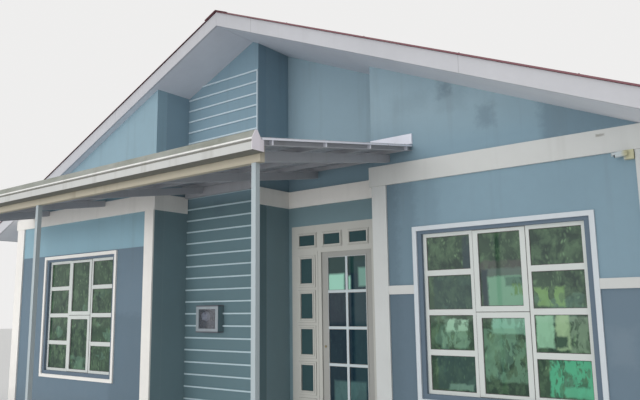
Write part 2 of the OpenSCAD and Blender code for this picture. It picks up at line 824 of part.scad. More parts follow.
module canopy_gutter() {
    y0 = beam_front - gutter_w;
    y1 = beam_front;
    back_top = canopy_under(y1) - 8;
    // Folded front: a low face, a recessed step, a rolled lip and a face leaning back
    front = [
        [y0, gutter_z0], [y0, gutter_top - 91], [y0 + 14, gutter_top - 87], [y0 + 14, gutter_top - 73],
        [y0 - 4, gutter_top - 71], [y0 - 4, gutter_top - 63], [y0 + 3, gutter_top - 58],
        [y0 + gutter_lean, gutter_top]
    ];
    back = reversed([for (p = front) [p[0] + gutter_t, p[1] < gutter_z0 + 1 ? p[1] + gutter_t : p[1]]]);
    color(white_color) union() {
        yz_plate(canopy_x0, canopy_x1) polygon(concat(
            front, back,
            [[y1 - gutter_t, gutter_z0 + gutter_t], [y1 - gutter_t, back_top], [y1, back_top], [y1, gutter_z0]]
        ));
        for (x = [canopy_x0, canopy_x1 - gutter_t])
            yz_plate(x, x + gutter_t) polygon([
                [y0 - 4, gutter_z0], [y0 - 4, gutter_top - 63], [y0 + gutter_lean, gutter_top],
                [y0 + gutter_lean + 22, gutter_top], [y1 - 28, back_top], [y1 - 6, back_top], [y1 - 6, gutter_z0]
            ]);
    }
}
// White strip along each sloping edge of the sheet, and a cleat in the channel at each purlin
edge_strip_t = 3;
strip_low = 6;
strip_high = 9;
cleat_w = 14;
module edge_strip(x, y0, y1) {
    slope_bar(x, x + edge_strip_t, y0, y1, strip_low, -strip_high);
}
module edge_cleat(side, y) {
    web_x = side > 0 ? purlin_x1 + joint_gap : purlin_x0 - joint_gap;
    x0 = web_x + side * (channel_t + slope_seat);
    x1 = web_x + side * edge_channel_w;
    y0 = y + (canopy_purlin_w - cleat_w) / 2;
    slope_bar(min(x0, x1), max(x0, x1), y0, y0 + cleat_w,
              canopy_purlin_h - channel_t - slope_seat, 2 * slope_seat + channel_t);
}
module canopy_flashing() {
    z0 = canopy_under(front_y) + canopy_rib_h + sheet_t + 4;
    edge_y0 = beam_front - 20;
    edge_y1 = front_y - trim_t - joint_gap;
    color(white_color) {
        block([recess_x1, front_y - trim_t, z0], [canopy_x1, front_y, z0 + flashing_h]);
        edge_strip(canopy_x1 + slope_seat, edge_y0, edge_y1);
        edge_strip(canopy_x0 - slope_seat - edge_strip_t, edge_y0, wing_y - band_t - joint_gap);
        for (y = purlin_y) edge_cleat(1, y);
        for (k = [1 : 3]) edge_cleat(-1, purlin_y[k]);
    }
}

// Small fittings on the walls
module wall_cabinet() {
    border = 45;
    back_t = 20;
    color("#9aa0a5") difference() {
        block([cabinet_x0, front_y - cabinet_d, cabinet_z0],
              [cabinet_x0 + cabinet_w, front_y, cabinet_z0 + cabinet_h]);
        block([cabinet_x0 + border, front_y - cabinet_d - 1, cabinet_z0 + border],
              [cabinet_x0 + cabinet_w - border, front_y - back_t, cabinet_z0 + cabinet_h - border]);
    }
}

cam_box_w = 75;
cam_box_x0 = half_w - pilaster_w - cam_box_w - 5;
cam_box_z0 = band_z - cam_box_w - joint_gap;
cam_r = 21;
cam_len = 92;
module wall_camera() {
    color("#d9d8cc") {
        block([cam_box_x0, front_y - 40, cam_box_z0],
              [cam_box_x0 + cam_box_w, front_y, cam_box_z0 + cam_box_w]);
        translate([cam_box_x0 + 22, front_y - 38, cam_box_z0 + 40]) rotate([90, 0, 0])
            cylinder(h = 34, r = 9, $fn = 32);
        translate([cam_box_x0 + 30, front_y - 66, cam_box_z0 + 46]) rotate([0, -100, 20]) {
            cylinder(h = cam_len, r = cam_r, $fn = 48);
            intersection() {
                difference() {
                    translate([0, 0, 8]) cylinder(h = cam_len + 12, r = cam_r + 5, $fn = 48);
                    translate([0, 0, 7]) cylinder(h = cam_len + 14, r = cam_r - 1, $fn = 48);
                }
                translate([2, -40, 0]) cube([60, 80, cam_len + 40]);
            }
        }
    }
}

floor_slab();
door_step();
right_front_wall();
right_return_wall();
right_side_wall();
left_front_wall();
left_return_wall();
left_side_wall();
back_wall();
tower_front_wall();
tower_side_wall();
door_wall_piers();
door_wall_header();
upper_band();
middle_band();
pilasters();
tower_battens();
window_trims();
front_window_frames();
front_window_glass();
side_window_frames();
side_window_glass();
back_window_frames();
back_window_glass();
door_frame();
door_frame_glass();
frame_hinges();
roof_lining();
roof_purlins();
roof_sheets();
ridge_cap();
barge_boards();
eave_fascias();
canopy_posts();
canopy_beam();
canopy_gutter();
canopy_rafters();
canopy_purlins();
canopy_sheet();
canopy_flashing();
wall_cabinet();
wall_camera();
door_leaf();
door_leaf_glass();
door_handles();
leaf_hinges();
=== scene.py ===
import math

import bpy
import numpy as np
from mathutils import Matrix, Vector


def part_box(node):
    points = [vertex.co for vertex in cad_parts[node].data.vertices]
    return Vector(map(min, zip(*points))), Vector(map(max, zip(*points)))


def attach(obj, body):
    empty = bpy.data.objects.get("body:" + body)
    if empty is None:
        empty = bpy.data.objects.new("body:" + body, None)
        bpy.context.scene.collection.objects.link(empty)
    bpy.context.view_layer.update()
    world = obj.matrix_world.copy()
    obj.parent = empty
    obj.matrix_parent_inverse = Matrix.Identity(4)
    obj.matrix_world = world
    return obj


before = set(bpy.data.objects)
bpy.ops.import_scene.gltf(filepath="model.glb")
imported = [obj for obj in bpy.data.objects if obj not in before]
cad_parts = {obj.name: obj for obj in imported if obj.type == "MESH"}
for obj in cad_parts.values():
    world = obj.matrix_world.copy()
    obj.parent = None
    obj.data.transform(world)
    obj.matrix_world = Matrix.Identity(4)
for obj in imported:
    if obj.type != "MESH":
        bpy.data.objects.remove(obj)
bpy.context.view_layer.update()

# Camera
# It stands in front of the house, just past its right side, at eye height, and
# looks up to the left, towards the entrance.
eye = Vector((5.258, -9.557, 1.600))
look_left = math.radians(37.41)
look_up = math.radians(9.34)
head_tilt = math.radians(-0.80)
lens_mm = 36.585
camera = bpy.data.objects.new("camera", bpy.data.cameras.new("camera"))
bpy.context.scene.collection.objects.link(camera)
camera.data.sensor_width = 36.0
camera.data.lens = lens_mm
turn = Matrix.Rotation(look_left, 4, "Z") @ Matrix.Rotation(math.pi / 2 + look_up, 4, "X")
camera.matrix_world = Matrix.Translation(eye) @ turn @ Matrix.Rotation(head_tilt, 4, "Z")
bpy.context.scene.camera = camera

# Ground and light
# A plain pale floor and an even white sky, with a wide soft lamp and a long soft
# panel low in front of the house, which together light it like an overcast day.
bpy.context.scene.view_settings.view_transform = "Standard"


def put(tree, kind, settings=None, **inputs):
    """Adds a node. Settings are its properties. Inputs are its sockets, named by their words or by
    a letter and a number, and each gets a value or the socket to take it from."""
    node = tree.nodes.new(kind)
    for key, value in (settings or {}).items():
        setattr(node, key, value)
    for key, value in inputs.items():
        socket = node.inputs[int(key[1:])] if key[1:].isdigit() else node.inputs[key.replace("_", " ")]
        if isinstance(value, bpy.types.NodeSocket):
            tree.links.new(value, socket)
        else:
            socket.default_value = value
    return node


def paint(red, green, blue):
    """A colour given as it looks on a screen, 0 to 255, turned into linear light."""
    def linear(v):
        v = v / 255
        return v / 12.92 if v <= 0.04045 else ((v + 0.055) / 1.055) ** 2.4
    return (linear(red), linear(green), linear(blue), 1.0)


def new_material(name):
    """An empty material with a Principled shader: returns the material, its tree and the shader."""
    material = bpy.data.materials.new(name)
    material.use_nodes = True
    tree = material.node_tree
    tree.nodes.clear()
    shader = put(tree, "ShaderNodeBsdfPrincipled")
    put(tree, "ShaderNodeOutputMaterial", Surface=shader.outputs[0])
    return material, tree, shader


world = bpy.data.worlds.new("sky")
bpy.context.scene.world = world
world.use_nodes = True
sky = world.node_tree
sky.nodes.clear()
sky_light = put(sky, "ShaderNodeBackground", Color=(1.0, 1.0, 1.0, 1.0), Strength=0.72)
sky_seen = put(sky, "ShaderNodeBackground", Color=(0.86, 0.855, 0.85, 1.0), Strength=1.0)
rays = put(sky, "ShaderNodeLightPath")
seen = put(sky, "ShaderNodeMath", {"operation": "MAXIMUM"},
           i0=rays.outputs["Is Camera Ray"], i1=rays.outputs["Is Transmission Ray"])
seen_or_glossy = put(sky, "ShaderNodeMath", {"operation": "MAXIMUM"},
                     i0=seen.outputs[0], i1=rays.outputs["Is Glossy Ray"])
sky_mix = put(sky, "ShaderNodeMixShader", i0=seen_or_glossy.outputs[0], i1=sky_light.outputs[0],
              i2=sky_seen.outputs[0])
put(sky, "ShaderNodeOutputWorld", Surface=sky_mix.outputs[0])

lamp = bpy.data.objects.new("soft_lamp", bpy.data.lights.new("soft_lamp", "SUN"))
bpy.context.scene.collection.objects.link(lamp)
lamp.data.energy = 0.42
lamp.data.angle = math.radians(50)
lamp_from = Vector((-0.30, -1.0, 0.15))
lamp.matrix_world = lamp_from.to_track_quat("Z", "Y").to_matrix().to_4x4()
panel = bpy.data.objects.new("soft_panel", bpy.data.lights.new("soft_panel", "AREA"))
bpy.context.scene.collection.objects.link(panel)
panel.data.shape = "RECTANGLE"
panel.data.size = 16.0
panel.data.size_y = 3.0
panel.data.energy = 118
panel.data.spread = math.radians(60)
panel_at = Vector((-3.5, -14.0, 1.8))
panel.matrix_world = Matrix.Translation(panel_at) @ Matrix.Rotation(math.pi / 2, 4, "X")
panel.visible_glossy = False

floor_r = 60.0
floor_drop = 0.002
floor_corners = 64
floor_mesh = bpy.data.meshes.new("floor")
ring = np.linspace(0, 2 * np.pi, floor_corners + 1)[:-1]
floor_z = np.full(floor_corners, -floor_drop)
floor_xyz = np.stack([floor_r * np.cos(ring), floor_r * np.sin(ring), floor_z], axis=1)
floor_mesh.from_pydata(floor_xyz.tolist(), [], [list(range(floor_corners))])
floor = bpy.data.objects.new("floor", floor_mesh)
bpy.context.scene.collection.objects.link(floor)
floor_material, tree, shader = new_material("pale_floor")
floor_grain = put(tree, "ShaderNodeTexNoise", Scale=0.6, Detail=3.0)
floor_tint = put(tree, "ShaderNodeValToRGB", Fac=floor_grain.outputs["Fac"])
floor_tint.color_ramp.elements[0].color = (0.78, 0.78, 0.77, 1)
floor_tint.color_ramp.elements[1].color = (0.82, 0.82, 0.81, 1)
tree.links.new(floor_tint.outputs[0], shader.inputs["Base Color"])
shader.inputs["Roughness"].default_value = 0.9
floor_mesh.materials.append(floor_material)

# Painted walls
# Hollow-block walls under cement plaster, rolled with blue-grey emulsion outside
# and off-white inside. The lower part of each wing and the window margins have a
# greyer coat, and rain and soil have marked them a little. Painted light lightens
# the coat above the band and the left wing's upper coat; painted shade darkens it
# under the canopy, on the return walls, beside the column and under the right soffit.


def group_tree(name, inputs, outputs):
    """A node group with named sockets: (name, kind, default) for inputs, (name, kind) for outputs."""
    tree = bpy.data.node_groups.new(name, "ShaderNodeTree")
    for label, kind, value in inputs:
        socket = tree.interface.new_socket(label, in_out="INPUT", socket_type="NodeSocket" + kind)
        socket.default_value = value
    for label, kind in outputs:
        tree.interface.new_socket(label, in_out="OUTPUT", socket_type="NodeSocket" + kind)
    return tree, tree.nodes.new("NodeGroupInput"), tree.nodes.new("NodeGroupOutput")


def mix(tree, share, first, second, way="MIX"):
    """Mixes two colours by a share."""
    return put(tree, "ShaderNodeMix", {"data_type": "RGBA", "blend_type": way},
               i0=share, i6=first, i7=second).outputs[2]


def spread(tree, value, low, high, to_low=0.0, to_high=1.0):
    """Stretches a value from one range to another and clamps it."""
    node = put(tree, "ShaderNodeMapRange", {"clamp": True}, Value=value)
    for index, number in zip((1, 2, 3, 4), (low, high, to_low, to_high)):
        if isinstance(number, bpy.types.NodeSocket):
            tree.links.new(number, node.inputs[index])
        else:
            node.inputs[index].default_value = number
    return node.outputs[0]


def sums(tree, operation, first, second=0.0):
    """One math step on two numbers."""
    return put(tree, "ShaderNodeMath", {"operation": operation}, i0=first, i1=second).outputs[0]


def product(tree, first, *others):
    """Numbers multiplied in turn."""
    for other in others:
        first = sums(tree, "MULTIPLY", first, other)
    return first


def noise(tree, coordinates, scale, detail=3.0, rough=0.55, stretch=(1.0, 1.0, 1.0)):
    """A noise value read at stretched coordinates."""
    placed = put(tree, "ShaderNodeMapping", Vector=coordinates, Scale=stretch).outputs[0]
    return put(tree, "ShaderNodeTexNoise", Vector=placed, Scale=scale, Detail=detail,
               Roughness=rough).outputs["Fac"]


def axes(tree):
    """The object coordinates and their X, Y and Z."""
    where = put(tree, "ShaderNodeTexCoord").outputs["Object"]
    parts = put(tree, "ShaderNodeSeparateXYZ", Vector=where).outputs
    return where, parts["X"], parts["Y"], parts["Z"]


# Weather on paint: cloudy fading, rain streaks that start at a height and run
# down, and soil splashed up from the ground
run_length = 1.3
splash_top = 0.55
weather, weather_in, weather_out = group_tree("weather_on_paint", [
    ("Paint", "Color", (0.5, 0.5, 0.5, 1)), ("Grime", "Color", (0.2, 0.2, 0.19, 1)),
    ("Fading", "Float", 0.5), ("Streaks", "Float", 0.4), ("Streak Top", "Float", 3.0),
    ("Splash", "Float", 0.5), ("Grain", "Float", 1.0),
], [("Color", "Color"), ("Roughness", "Float"), ("Height", "Float")])
where, _, _, height_z = axes(weather)
cloud = noise(weather, where, 0.8, 5.0, 0.6)
cloud_fine = noise(weather, where, 9.0, 5.0, 0.65)
faded = spread(weather, cloud, 0.3, 0.7, 0.92, 1.07)
faded_fine = spread(weather, cloud_fine, 0.3, 0.7, 0.96, 1.035)
shade = product(weather, faded, faded_fine)
shade_mix = put(weather, "ShaderNodeMix", {"data_type": "FLOAT"}, i0=weather_in.outputs["Fading"], i2=1.0,
                i3=shade).outputs[0]
shade_rgb = put(weather, "ShaderNodeCombineColor", i0=shade_mix, i1=shade_mix, i2=shade_mix).outputs[0]
tinted = mix(weather, 1.0, weather_in.outputs["Paint"], shade_rgb, "MULTIPLY")
run = noise(weather, where, 5.0, 3.0, 0.6, (1.6, 1.6, 0.09))
run_mask = spread(weather, run, 0.55, 0.80)
run_end = sums(weather, "SUBTRACT", weather_in.outputs["Streak Top"], run_length)
run_fade = spread(weather, height_z, run_end, weather_in.outputs["Streak Top"])
run_share = product(weather, run_mask, run_fade, weather_in.outputs["Streaks"])
splash_noise = spread(weather, noise(weather, where, 3.2, 4.0, 0.65), 0.25, 0.75, 0.2, 1.0)
splash_fade = spread(weather, height_z, splash_top, 0.0)
splash_share = product(weather, splash_noise, splash_fade, weather_in.outputs["Splash"])
grime_share = sums(weather, "MAXIMUM", run_share, splash_share)
grimed = mix(weather, grime_share, tinted, weather_in.outputs["Grime"])
weather.links.new(grimed, weather_out.inputs["Color"])
weather.links.new(spread(weather, cloud_fine, 0.3, 0.7, 0.60, 0.80), weather_out.inputs["Roughness"])
roller = noise(weather, where, 160.0, 2.0, 0.5)
trowel = noise(weather, where, 4.0, 3.0, 0.5)
grain = sums(weather, "ADD", product(weather, roller, 0.2), trowel)
weather.links.new(product(weather, grain, weather_in.outputs["Grain"]), weather_out.inputs["Height"])


def weathered(tree, shader, colour, grime=(0.13, 0.13, 0.12, 1), fading=0.6, streaks=0.3, top=3.0,
              splash=0.5, grain=1.0, bump_depth=0.004):
    """Feeds a shader from the weather group. The colour is a value or a socket."""
    node = put(tree, "ShaderNodeGroup", {"node_tree": weather}, Paint=colour, Grime=grime, Fading=fading,
               Streaks=streaks, Streak_Top=top, Splash=splash, Grain=grain)
    bump = put(tree, "ShaderNodeBump", Strength=0.6, Distance=bump_depth, Height=node.outputs["Height"])
    tree.links.new(node.outputs["Color"], shader.inputs["Base Color"])
    tree.links.new(node.outputs["Roughness"], shader.inputs["Roughness"])
    tree.links.new(bump.outputs[0], shader.inputs["Normal"])


# A soft-edged patch: 1 inside a box round a centre, its edge broken up by noise
patch, patch_in, patch_out = group_tree("patch", [
    ("Centre", "Vector", (0, 0, 0)), ("Half", "Vector", (1, 1, 1)), ("Soft", "Float", 0.01),
    ("Ragged", "Float", 0.0),
], [("Mask", "Float")])
where = put(patch, "ShaderNodeTexCoord").outputs["Object"]
away = put(patch, "ShaderNodeVectorMath", {"operation": "SUBTRACT"}, i0=where,
           i1=patch_in.outputs["Centre"]).outputs[0]
away = put(patch, "ShaderNodeVectorMath", {"operation": "ABSOLUTE"}, i0=away).outputs[0]
away = put(patch, "ShaderNodeVectorMath", {"operation": "SUBTRACT"}, i0=away,
           i1=patch_in.outputs["Half"]).outputs[0]
parts = put(patch, "ShaderNodeSeparateXYZ", Vector=away).outputs
outside = sums(patch, "MAXIMUM", sums(patch, "MAXIMUM", parts["X"], parts["Y"]), parts["Z"])
broken = sums(patch, "SUBTRACT", noise(patch, where, 16.0, 4.0, 0.65), 0.5)
outside = sums(patch, "ADD", outside, product(patch, broken, patch_in.outputs["Ragged"]))
patch.links.new(spread(patch, outside, patch_in.outputs["Soft"], 0.0), patch_out.inputs["Mask"])


def patch_mask(tree, centre, half, soft=0.002, ragged=0.0):
    """The mask of a patch at a place."""
    return put(tree, "ShaderNodeGroup", {"node_tree": patch}, Centre=centre, Half=half, Soft=soft,
               Ragged=ragged).outputs["Mask"]


def cover(material, *names):
    """Gives CAD nodes a material."""
    for name in names:
        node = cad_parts[name]
        if node.material_slots:
            node.material_slots[0].material = material
        else:
            node.data.materials.append(material)


upper_paint = paint(129, 155, 169)
# Lighter coat above the band: painted light that lifts the shade under the eaves.
eave_light_paint = paint(147, 170, 181)
# Darker coat under the canopy: painted shade.
canopy_shade_paint = paint(97, 121, 128)
lower_paint = paint(106, 125, 139)
margin_paint = paint(100, 116, 131)
inner_paint = paint(214, 211, 202)
wall_t = 0.150
floor_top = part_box("floor_slab")[1].z
band_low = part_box("upper_band")[0].z
band_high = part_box("upper_band")[1].z
front_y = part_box("right_front_wall")[0].y
wing_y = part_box("left_front_wall")[0].y
wing_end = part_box("left_front_wall")[1].x
side_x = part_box("right_side_wall")[1].x
back_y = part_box("back_wall")[1].y
recess_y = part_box("door_wall_header")[0].y
window_w = 1.516
window_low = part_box("front_window_frames")[0].z
window_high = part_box("front_window_frames")[1].z
window_mid = (window_low + window_high) / 2
right_window_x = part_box("front_window_frames")[1].x - window_w / 2
left_window_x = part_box("front_window_frames")[0].x + window_w / 2
other_windows = (-2.1, 2.1)
margin = 0.046
margin_x = window_w / 2 + margin
margin_z = (window_high - window_low) / 2 + margin
patch_depth = 0.3
entrance_top = band_high + 0.6
canopy_shade_z = 3.10
shade_fade = 0.25
past_house = 9.0
split_soft = 0.004
end_skin = 0.001
inner_skin = 0.0003


def on_face(x, z, half_x, half_z, face_y=front_y):
    """The centre and the half size of a patch on a face that looks to the front or the back."""
    return (x, face_y, z), (half_x, patch_depth, half_z)


def wall_material(name, inner_axis, inner_at, inner_sign, upper=upper_paint, split_z=0.0,
                  streak_top=entrance_top, windows=(), marks=(), end_x=past_house, fading=1.0,
                  shade_top=0.0, shade_tone=canopy_shade_paint):
    """Wall paint whose colour changes at a height, with greyer window margins, painted light above the
    band, painted shade below the canopy and on an end face, off-white past the inner face, and with
    marks on it, some of them painted shade. The inner face is across X where inner_axis is 1 and
    across Y where it is 2, and the inside lies to the side of inner_sign."""
    material, tree, shader = new_material(name)
    _, x, _, z = axes(tree)
    # Above the band the coat turns lighter by the share fading: painted light that lifts the eaves' shade.
    eave_light_share = spread(tree, z, band_high + 0.1, band_high + 0.5, 0.0, fading)
    colour = mix(tree, eave_light_share, upper, eave_light_paint)
    # Below the canopy the coat turns to the shade tone: painted shade.
    colour = mix(tree, spread(tree, z, shade_top, shade_top - shade_fade), colour, shade_tone)
    colour = mix(tree, spread(tree, z, split_z - split_soft, split_z + split_soft), lower_paint, colour)
    # The wing's end face below the canopy takes the shade tone too: painted shade.
    end_shade = product(tree, spread(tree, x, end_x - 2 * end_skin, end_x - end_skin),
                        spread(tree, z, canopy_shade_z, canopy_shade_z - shade_fade))
    colour = mix(tree, end_shade, colour, shade_tone)
    for centre, half in windows:
        colour = mix(tree, patch_mask(tree, centre, half), colour, margin_paint)
    for centre, half, tone, strength in marks:
        share = product(tree, patch_mask(tree, centre, half, soft=0.09, ragged=0.16), strength)
        colour = mix(tree, share, colour, tone)
    depth = product(tree, axes(tree)[inner_axis], inner_sign)
    inner_depth = inner_at * inner_sign
    inside = spread(tree, depth, inner_depth - 2 * inner_skin, inner_depth - inner_skin)
    colour = mix(tree, inside, colour, inner_paint)
    weathered(tree, shader, colour, top=streak_top, streaks=0.17)
    shader.inputs["Specular IOR Level"].default_value = 0.35
    return material


# Dark tone for small marks and for patches of painted shade.
smudge_and_shade = paint(84, 102, 114)
bloom = paint(196, 204, 208)
# Greener, darker coat on the return walls, the recess and the wing's end: painted shade.
return_shade_paint = paint(118, 142, 149)
middle_z = (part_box("middle_band")[0].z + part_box("middle_band")[1].z) / 2
plain_split_z = 2.37
# The wide patch high at x 4.00 is painted shade under the soffit, and the three tall patches by the column
# are painted shade beside it; the others are small marks.
right_wing_marks_and_shade = [
    (*on_face(2.544, 3.68, 0.012, 0.02), smudge_and_shade, 0.42),
    (*on_face(2.60, 3.55, 0.10, 0.06), smudge_and_shade, 0.14),
    (*on_face(2.95, 3.33, 0.03, 0.05), smudge_and_shade, 0.35),
    (*on_face(2.15, 3.60, 0.16, 0.05), smudge_and_shade, 0.12),
    (*on_face(4.00, 3.22, 0.50, 0.18), smudge_and_shade, 0.40),
    (*on_face(1.86, 1.70, 0.07, 1.17), smudge_and_shade, 0.40),
    (*on_face(1.94, 1.70, 0.19, 1.17), smudge_and_shade, 0.30),
    (*on_face(2.02, 1.70, 0.36, 1.17), smudge_and_shade, 0.15),
    (*on_face(3.96, 1.25, 0.05, 0.10), bloom, 0.05),
]
# A darker patch low on the wing's right side, partly painted shade of leaves.
left_marks = [(*on_face(-1.62, 0.90, 0.30, 0.60, wing_y), smudge_and_shade, 0.35)]
tower_marks = [(*on_face(-0.567, 2.83, 0.03, 0.03), smudge_and_shade, 0.35)]
cover(wall_material("wall_paint_right", 2, front_y + wall_t, 1, split_z=middle_z, streak_top=band_low,
                    windows=[on_face(right_window_x, window_mid, margin_x, margin_z)],
                    marks=right_wing_marks_and_shade),
      "right_front_wall")
# The left wing's upper coat is painted lighter: painted light that lifts the shade of the canopy and eaves
# on it.
cover(wall_material("wall_paint_left", 2, wing_y + wall_t, 1, upper=paint(139, 172, 186),
                    split_z=plain_split_z, streak_top=band_low,
                    windows=[on_face(left_window_x, window_mid, margin_x, margin_z, wing_y)],
                    marks=left_marks, end_x=wing_end, fading=0.6, shade_tone=return_shade_paint),
      "left_front_wall")
side_windows = [((side, place, window_mid), (patch_depth, margin_x, margin_z))
                for side in (-side_x, side_x) for place in other_windows]
for name, sign in (("right_side_wall", -1), ("left_side_wall", 1)):
    cover(wall_material("wall_paint_" + name.removesuffix("_wall"), 1, -sign * (side_x - wall_t), sign,
                        split_z=plain_split_z, streak_top=band_low, windows=side_windows), name)
back_windows = [on_face(place, window_mid, margin_x, margin_z, back_y) for place in other_windows]
cover(wall_material("wall_paint_back", 2, back_y - wall_t, -1, split_z=plain_split_z,
                    streak_top=band_low, windows=back_windows), "back_wall")
cover(wall_material("wall_paint_tower", 2, front_y + wall_t, 1, marks=tower_marks, fading=0.0,
                    shade_top=canopy_shade_z), "tower_front_wall")
cover(wall_material("wall_paint_recess", 2, recess_y + wall_t, 1, fading=0.9, shade_top=canopy_shade_z,
                    shade_tone=return_shade_paint), "door_wall_piers", "door_wall_header")
for name, sign in (("tower_side_wall", -1), ("left_return_wall", -1), ("right_return_wall", 1)):
    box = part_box(name)
    face = box[1].x - wall_t if sign < 0 else box[0].x + wall_t
    cover(wall_material("wall_paint_" + name.removesuffix("_wall"), 1, face, sign, fading=0.3,
                        shade_top=canopy_shade_z, shade_tone=return_shade_paint), name)

# White mouldings
# Cement bands, corner pilasters, battens and window surrounds, run proud of the
# plaster and painted white. The sun and rain have yellowed them. Under the canopy
# the bands, pilasters and surrounds are painted whiter, as painted light, and the
# battens darker, as painted shade.
canopy_light_white = paint(238, 235, 230)
under_canopy_x = 1.67
under_canopy_y = -3.0
moulding_specs = {
    "white_band_paint": (paint(202, 204, 202), canopy_light_white, 0.12, ("upper_band", "middle_band")),
    "white_pilaster_paint": (paint(199, 202, 201), canopy_light_white, 0.15, ("pilasters",)),
    "white_surround_paint": (paint(204, 211, 216), canopy_light_white, 0.10, ("window_trims",)),
    "pale_batten_paint": (paint(196, 212, 220), paint(178, 198, 205), 0.10, ("tower_battens",)),
}
for name, (colour, canopy_light_shade_colour, streaks, nodes) in moulding_specs.items():
    material, tree, shader = new_material(name)
    _, x, y, z = axes(tree)
    # Under the canopy each piece takes its second colour: painted light on the bands, pilasters and
    # surrounds, painted shade on the battens.
    canopy_share = product(tree, spread(tree, x, under_canopy_x, under_canopy_x - 0.01),
                        spread(tree, y, under_canopy_y, under_canopy_y - 0.1),
                        spread(tree, z, canopy_shade_z, canopy_shade_z - 0.1, 0.0, 0.95))
    marked = mix(tree, canopy_share, colour, canopy_light_shade_colour)
    mark = patch_mask(tree, *on_face(3.936, 2.964, 0.025, 0.002), soft=0.012, ragged=0.03)
    marked = mix(tree, product(tree, mark, 0.6), marked, paint(120, 116, 104))
    weathered(tree, shader, marked, grime=paint(132, 130, 120), fading=0.45, streaks=streaks,
              top=band_low + 0.2, splash=0.6, grain=0.6, bump_depth=0.003)
    cover(material, *nodes)

# Floor slab and door step
# Cast concrete, trowelled smooth with steel and worn grey. The step in the
# recess was cast against the slab, a little lower than the floor.
concrete_material, tree, shader = new_material("trowelled_concrete")
weathered(tree, shader, paint(150, 150, 146), grime=paint(90, 88, 82), fading=1.0, streaks=0.0, splash=0.4,
          grain=1.0, bump_depth=0.004)
cover(concrete_material, "floor_slab", "door_step")

# Window frames and their seals
# White powder-coated aluminium sections. Each pane is held by a black rubber
# seal, and the two opening sashes close on another, a dark loop that also paints
# the shade of the gap round each sash.
jamb = 0.035
mullion = 0.083
middle_light = 0.394
side_light = window_w / 2 - jamb - mullion - middle_light / 2
bar = 0.052
sash_bar = 0.103
sash_rail = 0.048
frame_in = 0.035
pane_in = 0.010
fit = 0.0002


def new_piece(name, vertices, faces, material, body="house", smooth=False):
    """A mesh object from arrays of vertices and faces, with its material, riding on a body."""
    mesh = bpy.data.meshes.new(name)
    mesh.from_pydata(vertices.tolist(), [], faces.tolist() if hasattr(faces, "tolist") else faces)
    mesh.polygons.foreach_set("use_smooth", np.full(len(mesh.polygons), smooth))
    mesh.materials.append(material)
    piece = bpy.data.objects.new(name, mesh)
    bpy.context.scene.collection.objects.link(piece)
    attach(piece, body)
    return piece


def framed(rects, profile):
    """A closed profile carried round rectangles with mitred corners. Rects are rows of
    x0, z0, x1, z1 and profile points are (inset from the edge, depth), front face after
    the outer one. The vertex of corner c and point p is the corner moved in by the inset of p."""
    x0, z0, x1, z1 = (rects[:, k, None, None] for k in range(4))
    inset = profile[None, None, :, 0]
    right = np.array([0, 1, 1, 0])[None, :, None]
    high = np.array([0, 0, 1, 1])[None, :, None]
    x = np.where(right == 0, x0 + inset, x1 - inset)
    z = np.where(high == 0, z0 + inset, z1 - inset)
    depth = np.broadcast_to(profile[None, None, :, 1], x.shape)
    vertices = np.stack([x, depth, z], axis=-1).reshape(-1, 3)
    count, points = len(rects), len(profile)
    index = np.arange(count * 4 * points).reshape(count, 4, points)
    ahead = np.roll(index, -1, axis=1)
    faces = np.stack([index, ahead, np.roll(ahead, -1, axis=2), np.roll(index, -1, axis=2)], axis=-1)
    return vertices, faces.reshape(-1, 4)


def joined(*shapes):
    """Several shapes of quads as one."""
    starts = np.cumsum([0] + [len(vertices) for vertices, _ in shapes[:-1]])
    faces = [quads + start for (_, quads), start in zip(shapes, starts)]
    return np.concatenate([vertices for vertices, _ in shapes]), np.concatenate(faces)


def at_windows(shape, places):
    """Copies of a window-shaped array. Each place is its centre on the wall face, and a turn about
    Z in degrees: x and y become the place plus the point turned by that angle."""
    copies = []
    for x, y, degrees in places:
        c, s = math.cos(math.radians(degrees)), math.sin(math.radians(degrees))
        turned_points = shape[0] @ np.array([[c, s, 0], [-s, c, 0], [0, 0, 1]])
        copies.append((turned_points + np.array([x, y, 0]), shape[1]))
    return joined(*copies)


window_places = [(right_window_x, front_y, 0), (left_window_x, wing_y, 0)]
window_places += [(side_x, place, 90) for place in other_windows]
window_places += [(-side_x, place, -90) for place in other_windows]
window_places += [(place, back_y, 180) for place in other_windows]


def pane_rects(x, width, rows, gap):
    """Rows of panes in one column of a window, between its head and its sill."""
    low = window_low + jamb
    height = (window_high - window_low - 2 * jamb - (rows - 1) * gap) / rows
    foot = low + np.arange(rows) * (height + gap)
    return np.stack([np.full(rows, x), foot, np.full(rows, x + width), foot + height], axis=1)


def two_tone(name, first, second, scale, detail, tone_at=(0.3, 0.7), rough=0.5, rough_at=(0.3, 0.7),
             coarse=0.55, stretch=(1.0, 1.0, 1.0), **more):
    """A small piece's material: two tones mixed by noise between the two levels of tone_at. The
    roughness is one number, or two that the same noise goes between from level to level of
    rough_at. More holds other values of the shader, named by their words."""
    material, tree, shader = new_material(name)
    grain = noise(tree, axes(tree)[0], scale, detail, coarse, stretch)
    tree.links.new(mix(tree, spread(tree, grain, *tone_at), first, second), shader.inputs["Base Color"])
    if isinstance(rough, tuple):
        tree.links.new(spread(tree, grain, *rough_at, *rough), shader.inputs["Roughness"])
    else:
        shader.inputs["Roughness"].default_value = rough
    for key, value in more.items():
        shader.inputs[key.replace("_", " ")].default_value = value
    return material


frame_material, tree, shader = new_material("white_window_frame")
weathered(tree, shader, paint(206, 211, 208), grime=paint(140, 138, 130), fading=0.25, streaks=0.15,
          top=2.3, splash=0.0, grain=0.1, bump_depth=0.001)
cover(frame_material, "front_window_frames", "side_window_frames", "back_window_frames")

